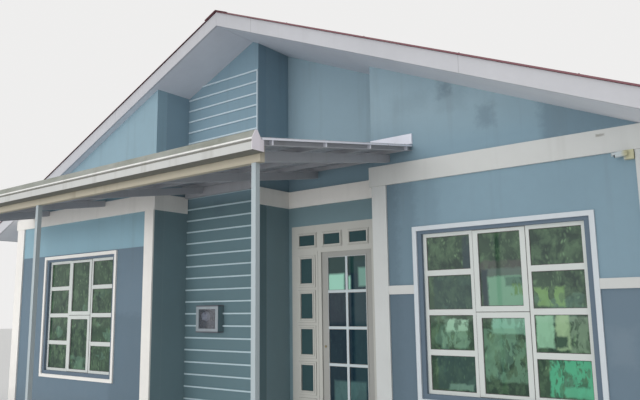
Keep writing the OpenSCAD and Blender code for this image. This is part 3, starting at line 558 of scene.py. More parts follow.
panes = np.concatenate([
    pane_rects(-window_w / 2 + jamb, side_light, 4, bar),
    pane_rects(-middle_light / 2, middle_light, 2, sash_bar),
    pane_rects(window_w / 2 - jamb - side_light, side_light, 4, bar),
])
glass_y = frame_in + pane_in
seal_w = 0.0045
seal_crown = 0.0028
seal_h = 0.004
seal_edge = 0.002
seal_profile = np.array([[fit, glass_y - fit], [fit, glass_y - seal_h], [seal_crown, glass_y - seal_h],
                         [seal_w, glass_y - seal_edge], [seal_w, glass_y - fit]])
sash_x = middle_light / 2 + sash_rail
sash_gap = 0.006
sashes = np.array([[-sash_x, window_low + sash_gap, sash_x, window_mid - sash_gap / 2],
                   [-sash_x, window_mid + sash_gap / 2, sash_x, window_high - sash_gap]])
# Dark loop round each sash: a seal that also paints the shade of the sash gap.
sash_seal_face = frame_in - 0.0012
sash_seal_and_gap_shade = np.array([[-seal_w, frame_in - fit], [-seal_w, sash_seal_face],
                              [-fit, sash_seal_face], [-fit, frame_in - fit]])
rubber_material = two_tone("black_rubber_seal", paint(60, 58, 58), paint(112, 106, 104), 30.0, 4.0,
                           tone_at=(0.35, 0.7), rough=(0.55, 0.8), rough_at=(0.35, 0.7))
window_seals = joined(framed(panes, seal_profile), framed(sashes, sash_seal_and_gap_shade))
new_piece("window_seals", *at_windows(window_seals, window_places), rubber_material)

# Glass
# Green tinted float glass, smooth and dark from outside. What stands across the
# yard is a painted reflection in its colour: a mottled green with paler places.
# The mottle is a painted reflection of the yard, made in the glass's colour.
mottle, mottle_in, mottle_out = group_tree("painted_glass_reflection", [
    ("Deep", "Color", (0.02, 0.05, 0.04, 1)), ("Green", "Color", (0.1, 0.2, 0.1, 1)),
    ("Pale", "Color", (0.3, 0.5, 0.4, 1)), ("Flecks", "Float", 1.0), ("Patches", "Float", 1.0),
], [("Color", "Color"), ("Fleck Mask", "Float")])
where, _, _, height_z = axes(mottle)
bend = put(mottle, "ShaderNodeTexNoise", Vector=where, Scale=4.5, Detail=2.0).outputs["Color"]
bend = put(mottle, "ShaderNodeVectorMath", {"operation": "SCALE"}, i0=bend, Scale=0.14).outputs[0]
bent = put(mottle, "ShaderNodeVectorMath", {"operation": "ADD"}, i0=where, i1=bend).outputs[0]
long_way = put(mottle, "ShaderNodeMapping", Vector=bent, Scale=(1.0, 1.0, 0.5)).outputs[0]
cells = put(mottle, "ShaderNodeTexVoronoi", {"feature": "F1"}, Vector=long_way, Scale=38.0)
fleck_tone = put(mottle, "ShaderNodeSeparateColor", Color=cells.outputs["Color"]).outputs[0]
fleck_shape = spread(mottle, cells.outputs["Distance"], 0.60, 0.15)
fleck_bright = product(mottle, fleck_shape, sums(mottle, "POWER", fleck_tone, 2.2))
aslant = put(mottle, "ShaderNodeMapping", Vector=bent, Rotation=(0.0, 0.55, 0.0),
             Scale=(1.0, 1.0, 0.36)).outputs[0]
dashes = put(mottle, "ShaderNodeTexVoronoi", {"feature": "F1"}, Vector=aslant, Scale=19.0)
dash_tone = put(mottle, "ShaderNodeSeparateColor", Color=dashes.outputs["Color"]).outputs[0]
dash_shape = spread(mottle, dashes.outputs["Distance"], 0.50, 0.32)
dash_shape = product(mottle, dash_shape, spread(mottle, dash_tone, 0.30, 0.50))
strokes = spread(mottle, noise(mottle, aslant, 11.0, 5.0, 0.66), 0.49, 0.58)
clumps = spread(mottle, noise(mottle, bent, 4.2, 4.0, 0.65), 0.38, 0.60)
billows = spread(mottle, noise(mottle, bent, 10.0, 5.0, 0.62, (1.0, 1.0, 0.7)), 0.42, 0.64)
haze = spread(mottle, noise(mottle, where, 2.2, 2.0, 0.5), 0.40, 0.62)
masses = sums(mottle, "ADD", product(mottle, billows, 0.34), product(mottle, dash_shape, 0.10))
flecks = product(mottle, fleck_bright, clumps, 0.9)
flecks = product(mottle, sums(mottle, "MAXIMUM", flecks, masses), mottle_in.outputs["Flecks"])
greens = mix(mottle, sums(mottle, "MAXIMUM", flecks, product(mottle, haze, 0.14)),
             mottle_in.outputs["Deep"], mottle_in.outputs["Green"])
gap_noise = noise(mottle, bent, 2.4, 3.0, 0.55, (1.0, 1.0, 1.3))
gaps = spread(mottle, gap_noise, 0.57, 0.60)
lower = spread(mottle, height_z, 1.95, 1.60)
shown = product(mottle, gaps, lower, mottle_in.outputs["Patches"],
                spread(mottle, dash_shape, 1.0, 0.0, 0.15, 1.0))
mottle.links.new(mix(mottle, shown, greens, mottle_in.outputs["Pale"]), mottle_out.inputs["Color"])
mottle.links.new(sums(mottle, "MAXIMUM", product(mottle, dash_shape, 0.6), strokes),
                 mottle_out.inputs["Fleck Mask"])


def glass_material(name, deep, green, pale, flecks, patches, shine, soft=0.02, ragged=0.05, lights=()):
    """Tinted glass with a painted mottled reflection in its colour, and painted reflections of their own
    at given places.
    Each place says its tone, and its strength between the flecks and on them."""
    material, tree, shader = new_material(name)
    node = put(tree, "ShaderNodeGroup", {"node_tree": mottle}, Deep=deep, Green=green, Pale=pale,
               Flecks=flecks, Patches=patches)
    colour = node.outputs["Color"]
    fleck_mask = node.outputs["Fleck Mask"]
    for centre, half, tone, between, on_flecks in lights:
        share = spread(tree, fleck_mask, 0.15, 0.75, between, on_flecks)
        share = product(tree, share, patch_mask(tree, centre, half, soft, ragged))
        colour = mix(tree, share, colour, tone)
    tree.links.new(colour, shader.inputs["Base Color"])
    wave = noise(tree, axes(tree)[0], 3.0, 1.0)
    wave = put(tree, "ShaderNodeBump", Strength=0.10, Distance=0.002, Height=wave)
    tree.links.new(wave.outputs[0], shader.inputs["Normal"])
    shader.inputs["Roughness"].default_value = 0.04
    shader.inputs["Transmission Weight"].default_value = 0.05
    shader.inputs["IOR"].default_value = 1.42
    shader.inputs["Specular IOR Level"].default_value = shine
    return material


# Painted reflections on the front windows: foliage, pale places and dark gaps, each at its place.
mint = paint(132, 184, 160)
dim = paint(50, 78, 76)
right_window_reflections = [
    (*on_face(2.530, 1.710, 0.200, 0.140), dim, 0.60, 0.50),
    (*on_face(2.540, 0.990, 0.200, 0.140), dim, 0.70, 0.60),
    (*on_face(2.672, 2.070, 0.030, 0.150), paint(42, 62, 72), 0.85, 0.60),
    (*on_face(2.986, 1.940, 0.190, 0.040), paint(82, 84, 82), 0.70, 0.50),
    (*on_face(3.015, 1.880, 0.155, 0.030), paint(88, 108, 100), 0.90, 0.90),
    (*on_face(3.015, 1.715, 0.155, 0.125), paint(116, 162, 136), 0.95, 0.95),
    (*on_face(3.105, 1.800, 0.070, 0.030), paint(44, 74, 68), 0.60, 0.95),
    (*on_face(3.130, 1.730, 0.045, 0.040), paint(96, 136, 84), 0.00, 0.95),
    (*on_face(2.835, 1.745, 0.018, 0.155), paint(44, 62, 70), 0.90, 0.90),
    (*on_face(3.040, 1.420, 0.150, 0.065), mint, 0.95, 0.55),
    (*on_face(2.990, 1.160, 0.190, 0.220), paint(112, 156, 128), 0.55, 0.00),
    (*on_face(2.540, 1.415, 0.110, 0.045), paint(160, 202, 174), 0.85, 0.25),
    (*on_face(2.520, 1.290, 0.130, 0.070), paint(128, 170, 142), 0.55, 0.05),
    (*on_face(2.560, 0.864, 0.110, 0.018), paint(126, 166, 146), 0.60, 0.50),
    (*on_face(3.350, 1.365, 0.063, 0.125), paint(142, 190, 158), 0.95, 0.85),
    (*on_face(3.500, 1.370, 0.046, 0.135), paint(156, 188, 146), 0.90, 0.70),
    (*on_face(3.485, 1.285, 0.038, 0.035), paint(48, 78, 64), 0.95, 0.95),
    (*on_face(3.640, 1.346, 0.075, 0.139), paint(124, 152, 126), 0.75, 0.15),
    (*on_face(3.540, 0.990, 0.165, 0.140), paint(84, 178, 138), 0.90, 0.20),
    (*on_face(3.600, 0.880, 0.110, 0.035), paint(92, 180, 142), 0.85, 0.80),
    (*on_face(3.400, 1.660, 0.120, 0.070), paint(124, 166, 102), 0.70, 0.05),
]
cover(glass_material("green_window_glass", deep=paint(34, 58, 50), green=paint(122, 160, 118), pale=mint,
                     flecks=1.0, patches=0.2, shine=0.5, lights=right_window_reflections),
      "front_window_glass", "side_window_glass", "back_window_glass")
# Painted reflections on the door's glass.
door_mint = paint(168, 226, 204)
leaf_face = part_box("door_leaf_glass")[0].y
leaf_glass_reflections = [
    (*on_face(0.930, 2.080, 0.280, 0.090, leaf_face), paint(36, 74, 66), 0.60, 0.60),
    (*on_face(0.770, 1.880, 0.110, 0.080, leaf_face), door_mint, 0.95, 0.95),
    (*on_face(0.955, 1.860, 0.012, 0.070, leaf_face), door_mint, 0.90, 0.90),
    (*on_face(1.150, 1.930, 0.040, 0.090, leaf_face), door_mint, 0.95, 0.95),
    (*on_face(1.120, 1.400, 0.080, 0.700, leaf_face), paint(40, 74, 80), 0.50, 0.50),
    (*on_face(0.950, 0.620, 0.200, 0.140, leaf_face), paint(92, 130, 128), 0.65, 0.50),
]
cover(glass_material("slate_door_glass", deep=paint(18, 42, 56), green=paint(60, 90, 92), pale=door_mint,
                     flecks=0.5, patches=0.0, shine=0.32, soft=0.030, ragged=0.012, lights=leaf_glass_reflections),
      "door_leaf_glass")
cover(glass_material("teal_sidelight_glass", deep=paint(56, 80, 84), green=paint(78, 104, 104),
                     pale=door_mint, flecks=0.4, patches=0.0, shine=0.5), "door_frame_glass")

# Door frame and leaf
# Enamelled white frame with its transom and sidelight, and the leaf beside them.
# The glazing bars of the leaf are painted lighter in front, as painted light, and
# darker along their sides, as painted shade.
enamel_material, tree, shader = new_material("white_door_enamel")
weathered(tree, shader, paint(190, 190, 184), grime=paint(120, 116, 104), fading=0.4, streaks=0.1, top=2.5,
          splash=0.5, grain=0.25, bump_depth=0.0015)
cover(enamel_material, "door_frame")
set_x0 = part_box("door_frame")[0].x
set_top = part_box("door_frame")[1].z
leaf_x0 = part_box("door_leaf")[0].x
leaf_w = 0.730
glazed_w = 0.523
pane_bar = 0.030
row_count = 4
leaf_top = set_top - 0.320
leaf_foot = 0.371
pane_top = leaf_top - 0.077
pane_pitch = (pane_top - floor_top - leaf_foot) / row_count
glazed_low = pane_top - row_count * pane_pitch + pane_bar
glazed_half = (pane_top - glazed_low) / 2
over_sides = 0.002
over_ends = 0.003
leaf_enamel, tree, shader = new_material("door_leaf_enamel")
glazed = patch_mask(tree, *on_face(leaf_x0 + leaf_w / 2, glazed_low + glazed_half,
                                   glazed_w / 2 + over_sides, glazed_half + over_ends, leaf_face))
bar_front = leaf_face - 0.0095
bar_back = leaf_face - 0.0065
# Glazing bars: painted light on their fronts and painted shade on their sides.
bar_light_and_shade = mix(tree, spread(tree, axes(tree)[2], bar_front, bar_back), paint(198, 208, 212),
                 paint(120, 126, 126))
weathered(tree, shader, mix(tree, glazed, paint(163, 163, 159), bar_light_and_shade), grime=paint(112, 110, 102),
          fading=0.4, streaks=0.1, top=2.3, splash=0.6, grain=0.25, bump_depth=0.0015)
cover(leaf_enamel, "door_leaf")

# Sealant lines of the door set
# Grey sealant in the joints round the raised boxes and along the sidelight, and
# a bead of it round each pane. The lines round the boxes and along the sidelight
# also paint the shade of those edges.
seal_material = two_tone("grey_sealant", paint(112, 110, 104), paint(150, 148, 142), 40.0, 4.0,
                         rough=0.7)
frame_relief = 0.013
leaf_relief = 0.010
door_frame_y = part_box("door_frame")[0].y + frame_relief
leaf_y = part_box("door_leaf")[0].y + leaf_relief
row = np.arange(row_count)


def rows_of_rects(x0, x1, z0, z1):
    """Rectangles from arrays of corner places."""
    return np.stack(np.broadcast_arrays(x0, z0, x1, z1), axis=1).astype(float)


box_x0 = set_x0 + 0.096
box_w = 0.262
box_h = pane_pitch - 0.038
box_rim = 0.037
box_low = pane_top + box_rim - box_h - np.arange(row_count + 1) * pane_pitch
raised_boxes = rows_of_rects(box_x0, box_x0 + box_w, box_low, box_low + box_h)
light_w = 0.180
light_h = pane_pitch - 0.118
light_x0 = box_x0 + (box_w - light_w) / 2
light_low = pane_top - light_h - row * pane_pitch
side_lights = rows_of_rects(light_x0, light_x0 + light_w, light_low, light_low + light_h)
set_w = 1.200
transom_w = 0.238
transom_h = 0.127
transom_low = set_top - 0.243
transom_pitch = 0.370
transom_off = 0.008
transom_x = set_x0 + set_w / 2 + transom_off - transom_w / 2 + np.array([-1, 0, 1]) * transom_pitch
transoms = rows_of_rects(transom_x, transom_x + transom_w, transom_low, transom_low + transom_h)
pane_w = (glazed_w - pane_bar) / 2
pane_x = leaf_x0 + (leaf_w - glazed_w) / 2 + np.array([0.0, pane_w + pane_bar])
pane_low = pane_top - (row + 1) * pane_pitch + pane_bar
door_panes = np.concatenate([rows_of_rects(x, x + pane_w, pane_low, pane_low + pane_pitch - pane_bar)
                             for x in pane_x])


def line_profile(inset, width, face, proud):
    """A flat line of a width at an inset from an edge, standing proud of a face."""
    return np.array([[inset, face], [inset, face - proud],
                     [inset + width, face - proud], [inset + width, face]])


line_w = 0.0024
bead_w = 0.0030
bead_h = 0.002
box_face = door_frame_y - 0.0081
frame_face = door_frame_y - 0.0001
light_face = door_frame_y + 0.0018
joint_x = set_x0 + 0.393
# Lines round the raised and transom boxes and along the leaf's side: sealant that also paints the shade of
# those edges; the beads round the lights are sealant.
frame_seal_and_shade_lines = joined(
    framed(raised_boxes, line_profile(-0.0026, line_w, frame_face, 0.0008)),
    framed(side_lights, line_profile(-0.0186, line_w, box_face, 0.0006)),
    framed(transoms, line_profile(-0.0186, line_w, box_face, 0.0006)),
    framed(transoms, line_profile(-0.0286, line_w, frame_face, 0.0008)),
    framed(side_lights, line_profile(fit, bead_w, light_face, bead_h)),
    framed(transoms, line_profile(fit, bead_w, light_face, bead_h)),
    framed(np.array([[joint_x, floor_top + 0.012, joint_x + 0.0035, set_top - 0.308]]),
           line_profile(0.0, 0.0015, frame_face, 0.0010)),
)
new_piece("door_frame_sealant", *frame_seal_and_shade_lines, seal_material)
leaf_lines = framed(door_panes, line_profile(fit, bead_w, leaf_y + 0.0058, bead_h))
new_piece("door_leaf_sealant", *leaf_lines, seal_material, "front_door")

# Threshold strip
# A strip of drawn aluminium with small ridges, bedded on the floor under the
# leaf. It is a little shorter than the leaf is wide.


def prisms(outline, starts, ends):
    """Bars with one closed outline in the YZ plane, given anticlockwise as seen from +X, from each
    start to each end along X. Returns vertices, and faces as lists."""
    count, points = len(starts), len(outline)
    x = np.stack([starts, ends], axis=1)[:, :, None]
    yz = np.broadcast_to(outline[None, None], (count, 2, points, 2))
    vertices = np.concatenate([np.broadcast_to(x[..., None], (count, 2, points, 1)), yz], axis=-1)
    index = np.arange(count * 2 * points).reshape(count, 2, points)
    ahead = np.roll(index, -1, axis=2)
    sides = np.stack([index[:, 0], ahead[:, 0], ahead[:, 1], index[:, 1]], axis=-1).reshape(-1, 4)
    faces = sides.tolist() + index[:, 1].tolist() + index[:, 0, ::-1].tolist()
    return vertices.reshape(-1, 3), faces


strip_material = two_tone("drawn_aluminium", paint(176, 176, 174), paint(206, 206, 204), 60.0, 3.0,
                          tone_at=(0.0, 1.0), rough=(0.30, 0.50), coarse=0.6, stretch=(0.05, 1.0, 1.0),
                          Metallic=1.0)
strip_points = 30
strip_under = floor_top + 0.0001
strip_end = 0.013
ridge_y = leaf_y + np.linspace(-0.006, 0.052, strip_points)
ridge_z = floor_top + 0.0028 + 0.0008 * (np.arange(strip_points) % 3 == 1)
ridge_z[[0, -1]] = floor_top + 0.0004
strip_foot = np.array([[ridge_y[-1], strip_under], [ridge_y[0], strip_under]])
strip_outline = np.concatenate([np.stack([ridge_y, ridge_z], axis=1), strip_foot])[::-1]
new_piece("threshold_strip", *prisms(strip_outline, np.array([leaf_x0 + strip_end]),
                                     np.array([leaf_x0 + leaf_w - strip_end])), strip_material)

# Hinges, lock cylinder and handle
# Satin steel butt hinges held by small screws, and a dull brass lock cylinder
# with a lever on the inside.
tarnish = (0.2, 0.17, 0.12, 1)
steel_material = two_tone("satin_steel", paint(176, 178, 180), tarnish, 90.0, 3.0, tone_at=(0.4, 0.9),
                          rough=(0.30, 0.50), Metallic=1.0)
cover(steel_material, "frame_hinges", "leaf_hinges")
brass_material = two_tone("dull_brass", paint(170, 158, 128), tarnish, 90.0, 3.0, tone_at=(0.4, 0.9),
                          rough=(0.37, 0.57), Metallic=1.0)
cover(brass_material, "door_handles")


def turned(profile, segments, flats=()):
    """A shape turned about Z: each profile point (radius, height) is a ring of equal steps.
    Rings named in flats are cut to a hexagon, whose radius is the corner's radius times
    cos(30 degrees) over the cosine of the angle from the middle of the flat."""
    angle = np.arange(segments) * 2 * np.pi / segments
    radius = np.repeat(profile[:, 0, None], segments, axis=1)
    for ring_number in flats:
        radius[ring_number] *= math.cos(math.pi / 6) / np.cos(angle % (math.pi / 3) - math.pi / 6)
    height = np.broadcast_to(profile[:, 1, None], radius.shape)
    points = np.stack([radius * np.cos(angle), radius * np.sin(angle), height], axis=-1).reshape(-1, 3)
    index = np.arange(len(profile) * segments).reshape(len(profile), segments)
    ahead = np.roll(index, -1, axis=1)
    sides = np.stack([index[:-1], ahead[:-1], ahead[1:], index[1:]], axis=-1).reshape(-1, 4)
    return points, [sides, index[-1:], index[:1, ::-1]]


def repeated(shape, places, frames):
    """Copies of a shape: each point is the place plus the point's X, Y and Z along the place's
    three axes."""
    points, face_sets = shape
    vertices = places[:, None, :] + np.einsum("pk,nkj->npj", points, frames)
    shift = (np.arange(len(places)) * len(points))[:, None, None]
    faces = []
    for faces_of_kind in face_sets:
        faces += (faces_of_kind[None] + shift).reshape(-1, faces_of_kind.shape[1]).tolist()
    return vertices.reshape(-1, 3), faces


def facing(direction, count=1):
    """Axes with Z along a direction, for a number of copies."""
    z = np.array(direction, float) / np.linalg.norm(direction)
    x = np.cross([0.0, 0.0, 1.0] if abs(z[2]) < 0.9 else [1.0, 0.0, 0.0], z)
    x = x / np.linalg.norm(x)
    return np.broadcast_to(np.stack([x, np.cross(z, x), z]), (count, 3, 3))


def grid_of(*lists):
    """Every combination of the listed coordinates, as rows of points."""
    return np.stack([part.ravel() for part in np.meshgrid(*lists, indexing="ij")], axis=1)


socket_screw = turned(np.array([[0.0036, 0.0], [0.0033, 0.0007], [0.0015, 0.0010], [0.0012, 0.0003]]), 12)
hinge_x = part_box("door_leaf")[1].x + 0.003
hinge_low = np.array([floor_top + 0.250, floor_top + 1.000, leaf_top - 0.250])
hinge_face = leaf_y + 0.048
screw_out = 0.020
screw_up = np.array([0.014, 0.038, 0.062, 0.086])
screw_z = (hinge_low[:, None] + screw_up).ravel()
for name, side, body in (("frame_hinge_screws", 1, "house"), ("leaf_hinge_screws", -1, "front_door")):
    spots = grid_of(np.array([hinge_x + side * screw_out]), np.array([hinge_face]), screw_z)
    new_piece(name, *repeated(socket_screw, spots, facing((0, 1, 0), len(spots))), steel_material, body)

# Roof lining, barge boards and fascias
# Fibre-cement board painted white. The underside of the lining is the soffit,
# with a joint at every sheet; the barge boards are jointed along the slope.
lining_material, tree, shader = new_material("white_soffit_board")
_, _, along_y, _ = axes(tree)
half_sheet = 0.61
joint_mask = spread(tree, sums(tree, "PINGPONG", along_y, half_sheet), 0.003, 0.0015)
board_colour = mix(tree, product(tree, joint_mask, 0.5), paint(220, 222, 228),
                   paint(126, 128, 132))
weathered(tree, shader, board_colour, grime=paint(150, 148, 142), fading=0.6, streaks=0.0, splash=0.0,
          grain=0.3, bump_depth=0.002)
cover(lining_material, "roof_lining")
fascia_material, tree, shader = new_material("white_fascia_board")
_, along_x, _, _ = axes(tree)
board_end = 2.989
half_board = 1.22
board_joint = sums(tree, "PINGPONG", sums(tree, "SUBTRACT", along_x, board_end), half_board)
joint_mask = spread(tree, board_joint, 0.004, 0.002)
board_colour = mix(tree, product(tree, joint_mask, 0.45), paint(197, 198, 203),
                   paint(128, 130, 134))
weathered(tree, shader, board_colour, grime=paint(140, 138, 130), fading=0.6, streaks=0.2, top=5.0,
          splash=0.0, grain=0.4, bump_depth=0.002)
cover(fascia_material, "barge_boards", "eave_fascias")

# Roof purlins
# Sawn timber battens laid along the roof on its lining, under the sheets, and
# left unpainted.
timber_material = two_tone("sawn_timber", paint(150, 122, 88), paint(186, 158, 120), 22.0, 4.0,
                           rough=0.8, coarse=0.6, stretch=(1.0, 0.06, 1.0))
cover(timber_material, "roof_purlins")

# Roof sheets and ridge cap
# Ribbed steel sheet, factory painted maroon and dulled by sun and rain, laid in
# widths of four ribs. The ridge cap is folded from the same sheet.
rib_pitch = 0.203
sheet_w = 4 * rib_pitch
sheets_from = -4.66
roof_material, tree, shader = new_material("maroon_ribbed_steel")
where, _, along_y, _ = axes(tree)
from_edge = sums(tree, "SUBTRACT", along_y, sheets_from)
sheet_number = sums(tree, "FLOOR", sums(tree, "DIVIDE", from_edge, sheet_w))
sheet_tone = put(tree, "ShaderNodeTexWhiteNoise", {"noise_dimensions": "1D"},
                 W=sheet_number).outputs["Value"]
sheet_colour = mix(tree, sheet_tone, paint(124, 78, 86), paint(136, 92, 98))
chalk = spread(tree, noise(tree, where, 2.5, 5.0, 0.65, (0.4, 1.0, 0.4)), 0.5, 0.8, 0.0, 0.35)
weathered(tree, shader, mix(tree, chalk, sheet_colour, paint(158, 128, 128)), grime=paint(84, 66, 62),
          fading=0.9, streaks=0.5, top=5.2, splash=0.0, grain=0.15, bump_depth=0.001)
cover(roof_material, "roof_sheets", "ridge_cap")

# Roof screws
# Hexagon head screws with washers, one on every rib over each purlin that the
# ridge cap leaves free, and one through the cap on every rib. Their paint has
# chipped.
roof_pitch = math.radians(23.3)
slope_s, slope_c = math.sin(roof_pitch), math.cos(roof_pitch)
eave_z = 2.958
fascia_h = 0.162
slope_seat = 0.0003
rib_top = 0.019
ridge_under = eave_z + side_x * math.tan(roof_pitch)
sheet_plane = ridge_under + fascia_h + slope_seat
first_rib_y = -4.605
rib_count = 46
roof_rib_y = first_rib_y + np.arange(rib_count) * rib_pitch
purlin_start = 0.085
purlin_pitch = 0.967
purlin_x = purlin_start + np.arange(1, 6) * purlin_pitch
cap_x = 0.140
cap_t = 0.003
cap_under = ridge_under - cap_x * math.tan(roof_pitch) + fascia_h + 2 * slope_seat
cap_z = cap_under + rib_top / slope_c + cap_t
hex_screw = turned(np.array([[0.0095, 0.0], [0.0088, 0.0016], [0.0060, 0.0018], [0.0060, 0.0062]]), 12,
                   flats=(2, 3))
places, frames = [], []
for side in (1, -1):
    down_slope = np.array([side * slope_c, 0.0, -slope_s])
    out_of_roof = np.array([side * slope_s, 0.0, slope_c])
    axes_here = np.stack([down_slope, np.cross(out_of_roof, down_slope), out_of_roof])
    on_sheet = grid_of(purlin_x / slope_c, roof_rib_y)
    spots = np.stack([side * (on_sheet[:, 0] * slope_c + rib_top * slope_s), on_sheet[:, 1],
                      sheet_plane - on_sheet[:, 0] * slope_s + rib_top * slope_c], axis=1)
    on_cap = grid_of(np.array([side * cap_x]), roof_rib_y, np.array([cap_z]))
    places.append(np.concatenate([spots, on_cap]))
    frames.append(np.broadcast_to(axes_here, (len(spots) + len(on_cap), 3, 3)))
screw_material = two_tone("painted_screw_heads", paint(122, 78, 84), paint(150, 138, 132), 45.0, 3.0,
                          tone_at=(0.45, 0.6), Metallic=0.3)
new_piece("roof_screws", *repeated(hex_screw, np.concatenate(places), np.concatenate(frames)),
          screw_material)

# Canopy rafters, purlins, posts and flashing
# Rolled steel sections, welded up and painted grey, on slim posts. White flashing
# closes the sheet's two ends and runs over it on the wall. All of it rusts a
# little in places.
canopy_specs = {
    "grey_painted_steel": (paint(170, 172, 178), 0.3, 0.2, ("canopy_rafters", "canopy_purlins")),
    "pale_post_paint": (paint(166, 177, 181), 0.4, 0.2, ("canopy_posts",)),
    "white_flashing_paint": (paint(230, 232, 242), 0.2, 0.1, ("canopy_flashing",)),
}
for name, (colour, fading, streaks, nodes) in canopy_specs.items():
    material, tree, shader = new_material(name)
    where = axes(tree)[0]
    rust = spread(tree, noise(tree, where, 7.0, 6.0, 0.7), 0.66, 0.72, 0.0, 0.6)
    weathered(tree, shader, mix(tree, rust, colour, paint(138, 104, 84)), grime=paint(120, 114, 100),
              fading=fading, streaks=streaks, top=2.9, splash=0.5, grain=0.1, bump_depth=0.001)
    cover(material, *nodes)

# Canopy sheet
# Ribbed steel sheet with a bare zinc coat, laid with a fall to the gutter. The
# coat shows its spangle and has stained along the ribs.
zinc_material, tree, shader = new_material("zinc_coated_sheet")
where, _, _, z = axes(tree)
spangle = put(tree, "ShaderNodeTexVoronoi", {"feature": "F1"}, Vector=where, Scale=55.0).outputs["Color"]
spangle = put(tree, "ShaderNodeSeparateColor", Color=spangle).outputs[0]
zinc = mix(tree, spangle, paint(158, 162, 170), paint(182, 186, 194))
stain = spread(tree, noise(tree, where, 3.0, 5.0, 0.65, (2.0, 0.25, 1.0)), 0.58, 0.75, 0.0, 0.5)
weathered(tree, shader, mix(tree, stain, zinc, paint(132, 120, 108)), grime=paint(110, 104, 92),
          fading=0.5, streaks=0.0, splash=0.0, grain=0.1, bump_depth=0.001)
shader.inputs["Metallic"].default_value = 0.25
cover(zinc_material, "canopy_sheet")

# Gutter
# Folded from white sheet: a leaning face gone green-grey with algae and a rolled
# bead below it. The bead is painted lighter, as a painted highlight, and the groove
# under it and the underside are painted dark, as painted shadow. A plate closes
# each end; the right one is painted a paler lilac white.
gutter_low, gutter_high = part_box("canopy_gutter")
gutter_material, tree, shader = new_material("white_gutter_paint")
where, x, _, z = axes(tree)
lean_foot = gutter_high.z - 0.057
roll_foot = gutter_high.z - 0.073
groove_foot = gutter_high.z - 0.090
blend = 0.0005
leaning = spread(tree, z, lean_foot, lean_foot + 4 * blend)
algae = spread(tree, noise(tree, where, 6.0, 5.0, 0.65, (0.5, 1.0, 1.0)), 0.3, 0.7, 0.55, 1.0)
colour = mix(tree, product(tree, leaning, algae), paint(188, 189, 187), paint(128, 132, 122))
# The rolled bead is painted lighter: a painted highlight.
rolled = product(tree, spread(tree, z, roll_foot - blend, roll_foot + blend),
                 spread(tree, z, lean_foot, lean_foot - 4 * blend))
colour = mix(tree, rolled, colour, paint(228, 228, 226))
# The groove under the bead is painted dark: painted shadow.
groove = product(tree, spread(tree, z, groove_foot - blend, groove_foot + blend),
                 spread(tree, z, roll_foot + blend, roll_foot - blend))
colour = mix(tree, product(tree, groove, 0.8), colour, paint(110, 108, 100))
end_cap = gutter_high.x - 0.0035
colour = mix(tree, spread(tree, x, end_cap, end_cap + blend), colour, paint(232, 226, 234))
# The underside is painted dark: painted shade.
underside = gutter_low.z + 0.0020
colour = mix(tree, spread(tree, z, underside, underside - blend), colour, paint(112, 112, 106))
weathered(tree, shader, colour, grime=paint(112, 108, 94), fading=0.5, streaks=0.35, top=2.80, splash=0.0,
          grain=0.1, bump_depth=0.001)
cover(gutter_material, "canopy_gutter")

# Canopy beam
# A steel beam along the front, on the heads of the posts. Along the top, under
# the gutter, its cream paint is painted darker: painted shade of the gutter, with
# dirt from its drip.
beam_material, tree, shader = new_material("cream_painted_steel")
where, _, _, z = axes(tree)
beam_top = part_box("canopy_beam")[1].z
# Darker along the top: painted shade under the gutter, with dirt.
dirt_and_shade = product(tree, spread(tree, z, beam_top - 0.11, beam_top - 0.05),
                spread(tree, noise(tree, where, 2.4, 5.0, 0.6, (0.6, 1.0, 1.0)), 0.35, 0.65, 0.35, 0.85))
colour = mix(tree, dirt_and_shade, paint(178, 171, 154), paint(96, 94, 86))
weathered(tree, shader, colour, grime=paint(110, 100, 84), fading=0.5, streaks=0.4, top=2.85, splash=0.0,
          grain=0.1, bump_depth=0.001)
cover(beam_material, "canopy_beam")

# Canopy fixings
# Hexagon head screws on the ribs of the sheet over each purlin, straps that hold
# the gutter's front to its back, and anchor bolts on the feet of the posts. All
# are zinc plated and rust a little.
canopy_rise = 0.167
canopy_z = 3.164
canopy_purlin_start = 0.126
canopy_purlin_pitch = 0.658
canopy_purlin_w = 0.040
crest_h = 0.017
lean = math.atan(canopy_rise)
wing_inner_x = -1.05
recess_crests = (0.15, 1.63)
recess_row_y = recess_y - 0.070
crest_pitch = 0.203
crest_count = 30
end_crest_in = 0.030
crest_x = gutter_high.x - end_crest_in - np.arange(crest_count) * crest_pitch
row_y = front_y - canopy_purlin_start - np.arange(4) * canopy_purlin_pitch + canopy_purlin_w / 2
spots = grid_of(crest_x, row_y)
spots = spots[(spots[:, 1] < wing_y - 0.1) | (spots[:, 0] > wing_inner_x)]
in_recess = (crest_x > recess_crests[0]) & (crest_x < recess_crests[1])
recess_spots = grid_of(crest_x[in_recess], np.array([recess_row_y]))
spots = np.concatenate([spots, recess_spots])
crest_z = canopy_z + canopy_rise * (spots[:, 1] - front_y) + crest_h / math.cos(lean)
spots = np.stack([spots[:, 0], spots[:, 1], crest_z], axis=1)
tilted = np.array([[1, 0, 0], [0, math.cos(lean), math.sin(lean)], [0, -math.sin(lean), math.cos(lean)]])
bolt_material = two_tone("zinc_plated_fixings", paint(176, 178, 180), paint(132, 112, 94), 60.0, 3.0,
                         tone_at=(0.4, 0.65), rough=(0.35, 0.7), rough_at=(0.4, 0.65), Metallic=0.8)
new_piece("canopy_screws", *repeated(hex_screw, spots, np.broadcast_to(tilted, (len(spots), 3, 3))),
          bolt_material)
strap_front = gutter_low.y + 0.0045
strap_back = gutter_low.y + 0.1215
strap_z = gutter_high.z - 0.0705
strap_t = 0.002
strap_lip = 0.007
strap_half = 0.010
strap_inset = 0.30
strap_count = 7
strap_outline = np.array([[strap_front, strap_z], [strap_back, strap_z], [strap_back, strap_z + strap_lip],
                          [strap_back - strap_t, strap_z + strap_lip],
                          [strap_back - strap_t, strap_z + strap_t], [strap_front, strap_z + strap_t]])
